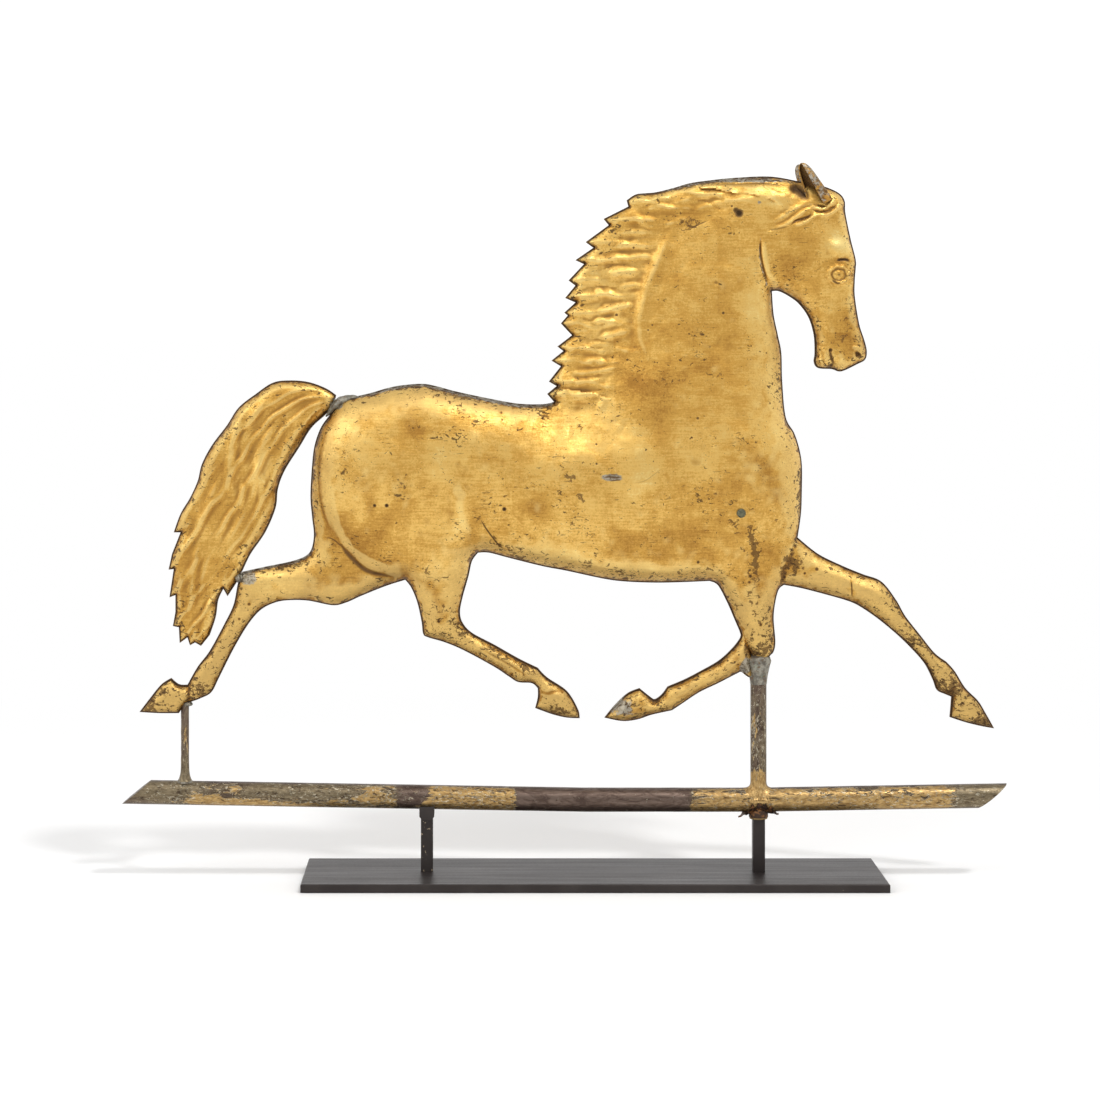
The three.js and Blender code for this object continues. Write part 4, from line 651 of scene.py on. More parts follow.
def relaxed(values, edges, rounds, share=0.5):
    """Values averaged with their neighbours, by a share that can differ from place to place."""
    count = len(values)
    degree = np.bincount(edges.ravel(), minlength=count)
    for _ in range(rounds):
        total = np.bincount(edges[:, 0], values[edges[:, 1]], count)
        total += np.bincount(edges[:, 1], values[edges[:, 0]], count)
        values = values + share * (total / np.maximum(degree, 1) - values)
    return values


# Relief of the stamped halves

CURVE_STEP = 4
LINE_STEP = 2
LINE_TAPER = 3.2
LINE_REACH = 4


def swelling(points, places):
    """Half thickness spread smoothly between the given places."""
    total = np.zeros(len(points))
    weights = np.zeros(len(points))
    for length, height, share in places:
        distance = np.hypot(*(points - at([length, height])).T) / BODY_HALF
        weight = 1 / (distance ** 3 + SWELL_SOFT_SHARE)
        total += weight * share
        weights += weight
    return BODY_HALF * total / weights


def rounded(distance, height):
    """Height that rises from the flange in a round edge."""
    t = np.clip((distance - FLANGE_WIDTH) / (height * EDGE_ROUND_SHARE), 0, 1)
    return EDGE_HALF + (height - EDGE_HALF) * np.sqrt(1 - (1 - t) ** 3)


def stepped_down(points, line, depth, width, reach, fades):
    """Depth of a step whose low side is on the right of the line.

    fades gives the shares of the line over which it fades out at its start and at its end."""
    distance, side, along = to_line(points, smooth_curve(at(line), CURVE_STEP))
    depths = depth * smooth_step(-side * distance / width) * np.exp(-distance / reach)
    for share, fade in zip((along, 1 - along), fades):
        if fade:
            depths = depths * np.clip(share / fade, 0, 1)
    return depths


def strand_place(points, lines):
    """The strand that a point is at, as a number with a fraction, how far along it and how far off."""
    found = np.array([to_line(points, smooth_curve(at(line), CURVE_STEP)) for line in lines])
    distances, sides, along = found[:, 0], found[:, 1], found[:, 2]
    nearest = distances.argmin(axis=0)
    index = np.arange(len(points))
    here = distances[nearest, index]
    toward = np.where(sides[nearest, index] > 0, 1, -1)
    neighbour = np.clip(nearest + toward, 0, len(lines) - 1)
    away = distances[neighbour, index]
    fraction = np.where(neighbour == nearest, 0, here / np.maximum(here + away, 1e-6))
    return nearest + toward * fraction, along[nearest, index], here


def line_relief(points, rows, sign):
    """Height, and dirt with painted shade, of a table of grooves or ridges."""
    height = np.zeros(len(points))
    dirt_and_shade = np.zeros(len(points))
    for line_shares, half_width, depth, *dirt_and_shade_held in rows:
        line = smooth_curve(at(line_shares), LINE_STEP)
        reach = LINE_REACH * half_width
        close = np.all((points > line.min(0) - reach) & (points < line.max(0) + reach), axis=1)
        distance, _, along = to_line(points[close], line)
        taper = smooth_step(np.minimum(along, 1 - along) * LINE_TAPER * 2 - 1)
        shape = np.exp(-(distance / (half_width * (0.5 + 0.5 * taper))) ** 2) * taper
        height[close] += sign * depth * shape
        if dirt_and_shade_held:
            dirt_and_shade[close] = np.maximum(dirt_and_shade[close], dirt_and_shade_held[0] * shape)
    return height, dirt_and_shade


# Relief and wear of the body

STEP_WIDTH = 2.6
STEP_REACH = 55.0
# Drop behind the mane's edge, the width of that step, its reach and how it fades at its ends
MANE_EDGE = (2.2, 6.0, 40, (0.2, 0.2))
FIELD_STEP = 2.3
FINE_STEP = 1.15
EXTRA_CELL = 0.42
OUTLINE_STEP = 1.4
BASE_ROUNDS = 140
SHIN_ROUNDS = 60
LAST_ROUNDS = 10
CAVITY_ROUNDS = 12
RIM_FADE = 5.0
GROOVE_FADE = 2.0
# Where the last rounds begin, from the rim, and over what width they grow
LAST_FROM, LAST_OVER = 3, 6
# Extra rows beside a groove and points in a pit, as shares of its half width or radius
GROOVE_ROWS = (-1.4, -0.7, 0, 0.7, 1.4)
GROOVE_POINT_STEP = 0.6
GROOVE_LEAST_STEP = 0.5
PIT_POINT_STEP = 0.45
PIT_POINT_REACH = 1.6
# Waves across the hair: how many to a lock, and their height
MANE_WAVES = [(1, 0.75), (2, 0.34), (4, 0.10)]
TAIL_WAVES = [(1, 0.60), (2, 0.30), (3, 0.10)]
HAIR_RIDGE_SHARE = 1.15
HAIR_BEND_SIZE = 26
STRAND_FIELD = (7.0, 60.0)
STRAND_SWELL, STRAND_SWELL_SIZE = 0.30, 14
STRAND_GRAIN, STRAND_GRAIN_SIZE = 0.05, 6
HAIR_FADE_FROM = 1.6
TAIL_TONE = -0.1
LOW_TONE = 0.85
TAIL_LOW_TONE = 0.15
LOW_FROM, LOW_TO = 0.18, 0.36
EYE_SHARE = (816.2, 802.8)
EYE_RADIUS = 6.4
EYE_STRETCH = 1.25
EYE_CORNER_SHARE = (830.5, 802.4)
EYE_CORNER_RADIUS = 2.6
EYE_STEP = 0.5
EYE_POINT_REACH = 1.7
EYE_WAVE = [(0.03, 4.0, 31)]
EYE_BALL = 0.5
EYE_BALL_RADII = 0.45
# Rings of the eye, of its inner corner and of the dirt and painted shade in it: radii from the middle,
# width, height
eye_rings = [(1.0, 0.22, 1.1), (0.66, 0.2, -0.65), (1.42, 0.25, -0.35)]
eye_corner_rings = [(1.0, 0.35, 0.8)]
eye_dirt_and_shade_rings = [(0.7, 0.16, 0.4), (0, 0.16, 0.5)]
# Unevenness of the sheet: height, size and seed
BODY_UNEVEN = [(0.22, 34, 11), (0.07, 9, 12)]
TAIL_UNEVEN = [(0.2, 24, 23)]
SHIN_UNEVEN = [(0.12, 12, 31)]
SHIN_BROWN = 0.15
LIGHT_AND_TONE_FALL, LIGHT_AND_TONE_POWER = 0.7, 1.2
# Lines along the mane and crest and along the head, and how far from them the triangles are fine
fine_reach_rows = [
    ([(540, 570), (545, 750), (600, 890), (740, 920)], 47.0),
    ([(790, 930), (800, 800), (825, 660)], 52.0),
]
# Steps: line, depth as a share of the deepest half thickness, and how they fade at their ends
right_steps = [
    (haunch_shares, 0.095, (0, 0)), (fore_crease_shares, 0.12, (0, 0)), (jaw_shares, 0.08, (0.4, 0)),
]
left_steps = [
    (flank_shares, 0.20, (0, 0)), (armpit_shares, 0.16, (0, 0)), (jaw_shares, 0.08, (0.4, 0)),
]


def everywhere(points):
    return np.ones(len(points), bool)


def in_fine_reach(points):
    """Which points are in the finely modelled mane, crest and head."""
    fine = np.zeros(len(points), bool)
    for line, reach in fine_reach_rows:
        fine |= to_line(points, at(line))[0] < reach
    return fine


def groove_points():
    """Extra points along grooves and in pits, so that they come out crisp."""
    rows = []
    for line_shares, half_width, *_ in groove_shares:
        line = smooth_curve(at(line_shares), max(GROOVE_LEAST_STEP, half_width * GROOVE_POINT_STEP))
        aside = left_of(np.gradient(line, axis=0))
        rows += [line + aside * half_width * share for share in GROOVE_ROWS]
    spots = [(place, radius, radius * PIT_POINT_STEP, PIT_POINT_REACH) for place, radius, *_ in pit_shares]
    spots += [(EYE_SHARE, EYE_RADIUS, EYE_STEP, EYE_POINT_REACH),
              (EYE_CORNER_SHARE, EYE_CORNER_RADIUS, EYE_STEP, EYE_POINT_REACH)]
    for place, radius, step, reach in spots:
        centre = at(place)[0]
        field = hexagonal(centre - 2 * radius, centre + 2 * radius, step)
        rows.append(field[np.hypot(*(field - centre).T) < reach * radius])
    return np.vstack(rows)


def thinned(points, spacing):
    """Leaves out points that share a cell with an earlier one."""
    cells = np.floor(points / spacing).astype(int)
    _, first = np.unique(cells, axis=0, return_index=True)
    return points[np.sort(first)]


def body_base(filled, steps):
    """Half thickness of a body half without its small forms."""
    points, edges = filled.points, filled.edges
    base = swelling(points, swell_shares)
    for length, height, along, up, rise_share in muscle_shares:
        halves = (along / SHARE_PARTS * horse_length, up / SHARE_PARTS * horse_height)
        base += rise_share * BODY_HALF * bell(points, [length, height], halves)
    base = relaxed(base, edges, BASE_ROUNDS)
    for line, depth_share, fades in steps:
        base -= stepped_down(points, line, depth_share * BODY_HALF, STEP_WIDTH, STEP_REACH, fades)
    base -= stepped_down(points, mane_edge_shares, *MANE_EDGE)
    height = rounded(filled.edge, np.maximum(base, LIMB_HALF))
    share = 0.5 * np.clip((filled.edge - LAST_FROM) / LAST_OVER, 0, 1)
    return relaxed(height, edges, LAST_ROUNDS, share)


def hair(points, lines, reach, heights, root_fade, seed, warp):
    """Wavy strands: long ridges on the given lines, thinner ones between them."""
    bends = [ripple(points, HAIR_BEND_SIZE, seed), ripple(points, HAIR_BEND_SIZE, seed + 1)]
    place, along, off = strand_place(points + np.column_stack(bends) * warp, lines)
    total = np.zeros(len(points))
    for times, height in heights:
        total += height * np.cos(2 * math.pi * times * place)
    drawn = np.column_stack([place * STRAND_FIELD[0], along * STRAND_FIELD[1]])
    total *= 1 + STRAND_SWELL * ripple(drawn, STRAND_SWELL_SIZE, seed + 2)
    total += STRAND_GRAIN * ripple(drawn, STRAND_GRAIN_SIZE, seed + 3)
    near = np.clip(HAIR_FADE_FROM - off / reach, 0, 1)
    return total * smooth_step(2 * along / root_fade - 1) * near


def eye_relief(points):
    """Eye: a raised ring round a ball with a punched dot, and a small ring at its inner corner."""
    offset = (points - at(EYE_SHARE)) / (EYE_STRETCH * EYE_RADIUS, EYE_RADIUS)
    away = np.hypot(*offset.T) * (1 + ripples(points, EYE_WAVE))
    corner = np.hypot(*(points - at(EYE_CORNER_SHARE)).T) / EYE_CORNER_RADIUS
    ball = EYE_BALL * np.exp(-(away / EYE_BALL_RADII) ** 4)
    relief = rings_at(away, eye_rings) + rings_at(corner, eye_corner_rings) + ball
    return relief, rings_at(away, eye_dirt_and_shade_rings)


def wear_at(points):
    """How brown and how bare the worn patches leave each point."""
    worn = np.zeros((2, len(points)))
    for place, half_length, half_height, *levels in patch_shares:
        worn = np.maximum(worn, np.outer(levels, bell(points, place, (half_length, half_height))))
    for line, half_width, *levels in worn_line_shares:
        distance = to_line(points, smooth_curve(at(line), CURVE_STEP))[0]
        worn = np.maximum(worn, np.outer(levels, np.exp(-(distance / half_width) ** 2)))
    return worn


def light_and_tone_at(points, low_tone=LOW_TONE):
    """Lighter (up to 1) and darker (down to -1) gilding, partly painted highlights and painted shade;
    low_tone darkens what is low down.
    """
    light_and_tone = np.zeros(len(points))
    for place, half_length, half_height, turn, level in light_and_tone_shares:
        angle = math.radians(turn)
        offset = points - at(place)
        along = offset[:, 0] * math.cos(angle) + offset[:, 1] * math.sin(angle)
        aside = offset[:, 1] * math.cos(angle) - offset[:, 0] * math.sin(angle)
        away = (along / half_length) ** 2 + (aside / half_height) ** 2
        light_and_tone += level * np.exp(-LIGHT_AND_TONE_FALL * away ** LIGHT_AND_TONE_POWER)
    height_share = (points[:, 1] - shell_low.z) / horse_height
    light_and_tone -= low_tone * smooth_step(1 - 2 * (height_share - LOW_FROM) / (LOW_TO - LOW_FROM))
    return np.clip(light_and_tone, -1, 1)


def body_details(points, edge):
    """Small forms of a body half, to add to its half thickness, and the dirt and painted shade in them."""
    relief = np.zeros(len(points))
    fine = in_fine_reach(points)
    relief[fine] = hair(points[fine], mane_lock_shares, reach=12, heights=MANE_WAVES, root_fade=0.5,
                        seed=5, warp=1.2)
    relief += HAIR_RIDGE_SHARE * line_relief(points, mane_ridge_shares, 1)[0]
    eye, eye_dirt_and_shade = eye_relief(points)
    relief += line_relief(points, ridge_shares, 1)[0] + eye + ripples(points, BODY_UNEVEN)
    grooves, soot_and_shade = line_relief(points, groove_shares, -1)
    soot_and_shade = np.maximum(soot_and_shade, eye_dirt_and_shade)
    relief = relief * np.clip(edge / RIM_FADE, 0, 1) + np.clip(edge / GROOVE_FADE, 0, 1) * grooves
    for place, radius, depth, dirt_and_shade in pit_shares:
        dip = np.exp(-(np.hypot(*(points - at(place)).T) / radius) ** 4)
        relief -= depth * dip
        soot_and_shade = np.maximum(soot_and_shade, dirt_and_shade * dip)
    return relief, soot_and_shade


# Meshes from points in millimetres

SHARP_DEGREES = 42


def add_object(name, data):
    """A new object in the scene."""
    made = bpy.data.objects.new(name, data)
    bpy.context.scene.collection.objects.link(made)
    return made


def add_piece(name, vertices, faces, material, slot, replaced, shades=None):
    """A piece that turns with the vane; shades are values at its points that the look reads."""
    mesh = bpy.data.meshes.new(name)
    mesh.from_pydata((np.asarray(vertices) * MM).tolist(), [], [list(map(int, f)) for f in faces])
    mesh.update()
    for shade, values in (shades or {}).items():
        attribute = mesh.attributes.new(shade, "FLOAT", "POINT")
        attribute.data.foreach_set("value", np.asarray(values, np.float32))
    mesh.polygons.foreach_set("use_smooth", [True] * len(mesh.polygons))
    mesh.set_sharp_from_angle(angle=math.radians(SHARP_DEGREES))
    mesh.materials.append(material)
    piece = add_object(name, mesh)
    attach(piece, "vane")
    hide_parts(*replaced)


class Filled:
    """An outline filled with fine triangles."""

    def __init__(self, stretches, straight=(), extra=(), levels=((FINE_STEP, everywhere),)):
        outline = closed_outline(stretches, straight, OUTLINE_STEP)
        points = fine_points(outline, levels, extra)
        self.points, self.triangles, source = triangulate(points, len(outline))
        order = np.full(len(points), -1)
        order[source[source < len(points)]] = np.where(source < len(points))[0]
        self.ring = order[:len(outline)]
        self.edges = edges_of(self.triangles)
        self.edge = to_line(self.points, closed_line(outline))[0]

    def shades(self, height, soot_and_shade, brown, bare, light_and_tone):
        """What the look reads at each point, with its hollows and its distance from the rim."""
        cavity = relaxed(height, self.edges, CAVITY_ROUNDS) - height
        return {"soot_and_shade": soot_and_shade, "brown": brown, "bare": bare, "light_and_tone": light_and_tone, "cavity": cavity,
                "edge": self.edge}


def stamped_half(name, side, filled, height, shades, material):
    """Closed half: the relief, a narrow rim and the flat seam side."""
    points, ring, count = filled.points, filled.ring, len(filled.points)
    seam = side * SEAM_HALF
    front = np.column_stack([points[:, 0], seam + side * height, points[:, 1]])
    back = np.column_stack([points[ring][:, 0], np.full(len(ring), seam), points[ring][:, 1]])
    _, seam_triangles, source = triangulate(points[ring], len(ring))
    faces = list(filled.triangles) + list((source[seam_triangles] + count)[:, ::-1])
    for k, corner in enumerate(ring):
        following = (k + 1) % len(ring)
        faces.append([corner, count + k, count + following, ring[following]])
    if side > 0:
        faces = [face[::-1] for face in faces]
    shades = {key: np.concatenate([value, value[ring]]) for key, value in shades.items()}
    add_piece(name, np.vstack([front, back]), faces, material, "gilt_copper", [f"{name}_shell"], shades)


def stamped_bodies(material):
    levels = [(FINE_STEP, in_fine_reach), (FIELD_STEP, lambda points: ~in_fine_reach(points))]
    filled = Filled(body_outline_shares, ["mane teeth"], thinned(groove_points(), EXTRA_CELL), levels)
    points = filled.points
    relief, soot_and_shade = body_details(points, filled.edge)
    worn, light_and_tone = wear_at(points), light_and_tone_at(points)
    for name, side, steps in (("right_body", -1, right_steps), ("left_body", 1, left_steps)):
        height = np.maximum(body_base(filled, steps) + relief, EDGE_HALF)
        height[filled.ring] = EDGE_HALF
        stamped_half(name, side, filled, height, filled.shades(height, soot_and_shade, *worn, light_and_tone), material)


def stamped_tails(material):
    filled = Filled(tail_outline_shares, ["tail teeth", "tail tip"])
    points, edge = filled.points, filled.edge
    base = relaxed(swelling(points, tail_swell_shares), filled.edges, BASE_ROUNDS)
    base = rounded(edge, np.maximum(base, LIMB_HALF))
    strands = hair(points, tail_strand_shares, reach=14, heights=TAIL_WAVES, root_fade=0.12,
                   seed=21, warp=0.5)
    strands += HAIR_RIDGE_SHARE * line_relief(points, tail_ridge_shares, 1)[0]
    strands += ripples(points, TAIL_UNEVEN)
    height = np.maximum(base + np.clip(edge / RIM_FADE, 0, 1) * strands, EDGE_HALF)
    height[filled.ring] = EDGE_HALF
    light_and_tone = light_and_tone_at(points, TAIL_LOW_TONE) + TAIL_TONE
    shades = filled.shades(height, np.zeros(len(points)), *wear_at(points), light_and_tone)
    for name, side in (("right_tail", -1), ("left_tail", 1)):
        stamped_half(name, side, filled, height, shades, material)


def lower_foreleg(material):
    """Folded-back lower leg, a closed piece of its own across the middle."""
    filled = Filled(foreleg_outline_shares)
    points, edge, ring, count = filled.points, filled.edge, filled.ring, len(filled.points)
    height = rounded(edge, relaxed(swelling(points, shin_swell_shares), filled.edges, SHIN_ROUNDS))
    height += np.clip(edge / RIM_FADE, 0, 1) * ripples(points, SHIN_UNEVEN)
    height[ring] = EDGE_HALF
    brown, bare = wear_at(points)
    shades = filled.shades(height, np.zeros(count), np.maximum(brown, SHIN_BROWN), bare, light_and_tone_at(points))
    sides = [np.column_stack([points[:, 0], side * height, points[:, 1]]) for side in (-1, 1)]
    faces = list(filled.triangles) + list(filled.triangles[:, ::-1] + count)
    for corner, following in zip(ring, np.roll(ring, -1)):
        faces.append([corner, count + corner, count + following, following])
    shades = {key: np.tile(value, 2) for key, value in shades.items()}
    add_piece("lower_foreleg", np.vstack(sides), faces, material, "gilt_copper", ["right_foreleg_lower"],
              shades)


# Surfaces through rings of equal count

def round_angles(count):
    return np.arange(count) / count * 2 * math.pi


def skinned(rings):
    """Closed surface through rings, each end closed by one face, with all faces turned outwards."""
    count = len(rings[0])
    faces = []
    for r in range(len(rings) - 1):
        for k in range(count):
            a, b = r * count + k, r * count + (k + 1) % count
            faces.append([a, b, b + count, a + count])
    last = (len(rings) - 1) * count
    faces += [list(range(count))[::-1], [last + k for k in range(count)]]
    vertices = np.vstack(rings)
    fans = np.array([(face[0], b, c) for face in faces for b, c in zip(face[1:-1], face[2:])])
    first, second, third = (vertices[fans[:, k]] for k in range(3))
    volume = (first * np.cross(second, third)).sum()
    return vertices, faces if volume > 0 else [face[::-1] for face in faces]


# Ears

EAR_LENGTH = 36.5
EAR_HALF_WIDTH = 9.8
EAR_TAPER = 0.5
EAR_TIP_POWER = 9
EAR_LEAST_HALF_WIDTH = 0.6
EAR_LEAST_HOLLOW = 0.1
EAR_FLAT = 0.64
EAR_SPREAD = 19.4
EAR_SHEET = 1.3
EAR_RINGS = 44
EAR_ARC = 40
EAR_ROOT_SHARE = (796.5, 927)
EAR_LEAN_DEGREES = 27
EAR_SPLAY_DEGREES = 3
EAR_SLOT_DEGREES = 234
EAR_SLOT_HALF_DEGREES = 42
# What the look reads on the ears: level at the root, what is added up to the tip and on the inside; the
# darker inside is painted shade of the rolled sheet
ear_wear_and_shade = {
    "soot_and_shade": (0.0, 0.0, 0.45), "brown": (0.35, 0.15, 0.0), "bare": (0.44, 0.12, -0.5),
    "light_and_tone": (-0.8, 0.0, 0.0), "cavity": (0.0, 0.0, 0.0), "edge": (9.0, 0.0, 0.0),
}


def rotated(points, degrees, axis):
    """Points turned about the X or the Y axis."""
    angle = math.radians(degrees)
    c, s = math.cos(angle), math.sin(angle)
    spin = {"x": [[1, 0, 0], [0, c, -s], [0, s, c]], "y": [[c, 0, s], [0, 1, 0], [-s, 0, c]]}[axis]
    return points @ np.array(spin).T


def ear_width(t):
    """Half width up the ear, with a blunt rounded tip."""
    width = EAR_HALF_WIDTH * (1 - EAR_TAPER * t) * math.sqrt(max(0.0, 1 - t ** EAR_TIP_POWER))
    return max(width, EAR_LEAST_HALF_WIDTH)


def ears(material):
    """Rolled sheet with a slot that faces back and out."""
    root = at(EAR_ROOT_SHARE)[0]
    first = math.radians(EAR_SLOT_DEGREES + EAR_SLOT_HALF_DEGREES)
    angles = first + np.linspace(0, math.radians(360 - 2 * EAR_SLOT_HALF_DEGREES), EAR_ARC + 1)
    arc = np.column_stack([np.cos(angles), np.sin(angles) * EAR_FLAT])
    up = np.arange(EAR_RINGS + 1) / EAR_RINGS
    for name, side in (("right_ear", -1), ("left_ear", 1)):
        rings = []
        for t in up:
            width = ear_width(t)
            hollow = max(width - EAR_SHEET, EAR_LEAST_HOLLOW)
            flat = np.vstack([arc * width, arc[::-1] * hollow]) * (1, -side)
            rings.append(np.column_stack([flat, np.full(len(flat), t * EAR_LENGTH)]))
        vertices, faces = skinned(rings)
        vertices = rotated(vertices, -EAR_LEAN_DEGREES, "y")
        vertices = rotated(vertices, -side * EAR_SPLAY_DEGREES, "x")
        vertices = vertices + (root[0], side * EAR_SPREAD / 2, root[1])
        rise = np.repeat(up, 2 * (EAR_ARC + 1))
        within = np.tile(np.repeat([0.0, 1.0], EAR_ARC + 1), EAR_RINGS + 1)
        shades = {shade: level + higher * rise + inner * within
                  for shade, (level, higher, inner) in ear_wear_and_shade.items()}
        add_piece(name, vertices, faces, material, "gilt_copper", [name], shades)


# Surfaces turned about an upright axis

# Unevenness of turned pieces: waves round and along them, and their size
TURNED_WAVES = (2, 0.25)
TURNED_SIZE = 2.2


def upright(profile, centre, sides, unevenness, seed, flatten=1.0):
    """Closed turned piece from radius and height pairs, about an axis at the centre's X and Y."""
    angles = round_angles(sides)
    rings = []
    for radius, z in profile:
        field = np.column_stack([angles, np.full(sides, z)]) * TURNED_WAVES
        uneven = 1 + unevenness * ripple(field, TURNED_SIZE, seed) * np.sin(angles / 2)
        rings.append(np.column_stack([
            centre[0] + np.cos(angles) * radius * uneven,
            centre[1] + np.sin(angles) * radius * flatten * uneven, np.full(sides, z)]))
    return skinned(rings)


def middle(node):
    """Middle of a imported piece's box, in millimetres."""
    low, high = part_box(node)
    return np.array((low + high) / 2) / MM


def half_sizes(node):
    """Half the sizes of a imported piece's box, in millimetres."""
    low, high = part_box(node)
    return np.array((high - low) / 2) / MM


# Solder and rivet

BEAD_ROUND = 48
BEAD_ROUGH = 0.09
BEAD_LUMP = 1.3
BEAD_GRAIN = 0.5
BEAD_SHARE = 0.97
BEAD_POLE = 0.02
KNEE_SHOULDER = 2.5
KNEE_DOME = 3
KNEE_FILM = 0.3
KNEE_RINGS = 30
KNEE_POWER = 1.5
KNEE_END = 0.6
KNEE_SOLDER_DROP = 5.0
STRUT_SOLDER_RISE = 3.0
STRUT_FOOT_DEPTH = 1.2
STRUT_FOOT_UNDER_SHARE = 0.8
STRUT_FOOT_POWER = 2.0
STRUT_FOOT_FLAT = 0.85
# How far inside its tube or rod a skirt of solder ends
SOLDER_TUCK = 0.4
RIVET_HEAD_RADIUS = 3.6
RIVET_SHIFT = -2.4
RIVET_HEAD_RISE = 1.5
RIVET_FLAT_SHARE = 0.55
TAIL_ROOT_RINGS = 40
TAIL_ROOT_ROUGH = 0.45 * BEAD_ROUGH
TAIL_ROOT_WAVES = (3, 0.6)
TAIL_ROOT_SIZE = 3.5
# Filling between tail and rump: place, half depth across the run and half thickness
tail_root_rows = [
    ((257, 586), 0.8, 3.0), ((250, 585), 2.6, 6.0), ((242, 582), 3.8, 7.6), ((234, 577), 4.0, 7.6),
    ((228, 570), 3.4, 6.8), ((224, 563), 2.4, 5.6), ((221, 557), 1.4, 4.0), ((218, 552), 0.5, 1.5),
]


def bead(name, node, seed, material):
    """Lump: a squashed ball with an uneven surface."""
    around = round_angles(BEAD_ROUND)
    rings = []
    for turn in np.linspace(BEAD_POLE, math.pi - BEAD_POLE, BEAD_ROUND // 2):
        rings.append(np.column_stack([
            np.sin(turn) * np.cos(around), np.sin(turn) * np.sin(around),
            np.full(BEAD_ROUND, np.cos(turn))]))
    vertices, faces = skinned(rings)
    field = np.column_stack([vertices[:, 0] + vertices[:, 1], vertices[:, 2] - vertices[:, 1]])
    swell = 1 + ripples(field, [(BEAD_ROUGH, BEAD_LUMP, seed), (BEAD_ROUGH / 3, BEAD_GRAIN, seed + 1)])
    vertices = vertices * swell[:, None] * (half_sizes(node) * BEAD_SHARE) + middle(node)
    add_piece(name, vertices, faces, material, "old_solder", [node])


def knee_solder(material):
    """Solder below the knee: a cone that thins out along the tube."""
    low, high = corners("knee_solder")
    widest = (high.x - low.x) / 2
    film = TUBE_RADIUS + KNEE_FILM
    shoulder, foot = high.z - KNEE_SHOULDER, low.z - KNEE_SOLDER_DROP
    profile = [(widest * share, high.z + KNEE_DOME * (1 - share ** 2))
               for share in np.linspace(0.05, 0.9, 8)]
    for share in np.linspace(0, 1, KNEE_RINGS):
        radius = film + (widest - film) * (1 - share) ** KNEE_POWER
        profile.append((radius, shoulder + (foot - shoulder) * share))
    profile.append((TUBE_RADIUS - SOLDER_TUCK, foot - KNEE_END))
    vertices, faces = upright(profile, (spindle_x, 0), BEAD_ROUND, unevenness=0.03, seed=3)
    add_piece("knee_bead", vertices, faces, material, "old_solder", ["knee_solder"])


def tail_root(material):
    """Solder run down between the tail and the rump."""
    rows = np.array([(*at(place)[0], depth, half) for place, depth, half in tail_root_rows])
    steps = np.linspace(0, len(rows) - 1, TAIL_ROOT_RINGS)
    x, z, depth, half = [np.interp(steps, np.arange(len(rows)), column) for column in rows.T]
    aside = left_of(np.gradient(np.column_stack([x, z]), axis=0))
    around = round_angles(BEAD_ROUND)
    rings = []
    for i in range(TAIL_ROOT_RINGS):
        field = np.column_stack([around, np.full(BEAD_ROUND, i)]) * TAIL_ROOT_WAVES
        uneven = 1 + TAIL_ROOT_ROUGH * ripple(field, TAIL_ROOT_SIZE, 21) * np.sin(around / 2)
        across = np.cos(around) * depth[i] * uneven
        rings.append(np.column_stack([
            x[i] + aside[i, 0] * across, np.sin(around) * half[i] * uneven, z[i] + aside[i, 1] * across]))
    add_piece("tail_root_bead", *skinned(rings), material, "old_solder", ["tail_root_solder"])


def strut_foot(material):
    """Solder spread round the strut's foot on the bar."""
    low, high = corners("strut_foot_solder")
    widest = (high.x - low.x) / 2
    thin = half_sizes("rear_strut")[0]
    top = high.z + STRUT_SOLDER_RISE
    profile = [(widest * STRUT_FOOT_UNDER_SHARE, low.z - STRUT_FOOT_DEPTH), (widest, low.z)]
    for share in np.linspace(0.08, 1, 14):
        radius = thin + (widest - thin) * (1 - share) ** STRUT_FOOT_POWER
        profile.append((radius, low.z + (top - low.z) * share))
    profile.append((thin - SOLDER_TUCK, top + SOLDER_TUCK))
    centre = (middle("strut_foot_solder")[0], 0)
    vertices, faces = upright(profile, centre, BEAD_ROUND, unevenness=0.12, seed=17,
                              flatten=STRUT_FOOT_FLAT)
    add_piece("strut_foot_bead", vertices, faces, material, "old_solder", ["strut_foot_solder"])


def solders(material):
    """All the solder that shows."""
    bead("hock_bead", "hock_solder", 11, material)
    bead("strut_top_bead", "strut_top_solder", 16, material)
    tail_root(material)
    strut_foot(material)
    knee_solder(material)


def rivet(material):
    """A low head on each side of the body, with the shank between them."""
    low, high = corners("chest_rivet")
    x, _, z = middle("chest_rivet") + (RIVET_SHIFT, 0, 0)
    right, left = low.y + RIVET_HEAD_RISE, high.y - RIVET_HEAD_RISE
    profile = []
    for turn in np.linspace(0, math.pi / 2, 9):
        share = RIVET_FLAT_SHARE + (1 - RIVET_FLAT_SHARE) * math.sin(turn)
        profile.append((RIVET_HEAD_RADIUS * share, RIVET_HEAD_RISE * math.cos(turn)))
    stations = [(radius, right - rise) for radius, rise in profile]
    stations += [(radius, left + rise) for radius, rise in reversed(profile)]
    angles = round_angles(BEAD_ROUND)
    rings = [np.column_stack([x + np.cos(angles) * radius, np.full(BEAD_ROUND, y),
                              z + np.sin(angles) * radius]) for radius, y in stations]
    add_piece("rivet", *skinned(rings), material, "bare_copper", ["chest_rivet"])


# Arrow bar

BAR_RADIUS = 9.525
BAR_SIDES = 72
BAR_SLANT = 23.0
BAR_SLANT_FADE = 60
BAR_STEP = 2.5
BAR_RISE_DEGREES = 1.0
# Dents: their share of the radius, what the whole tube is drawn in by, and their size along it
DENT_SHARE = 0.004
DENT_BASE = 0.002
DENT_STRETCH = 0.03
DENT_SIZE = 1.2
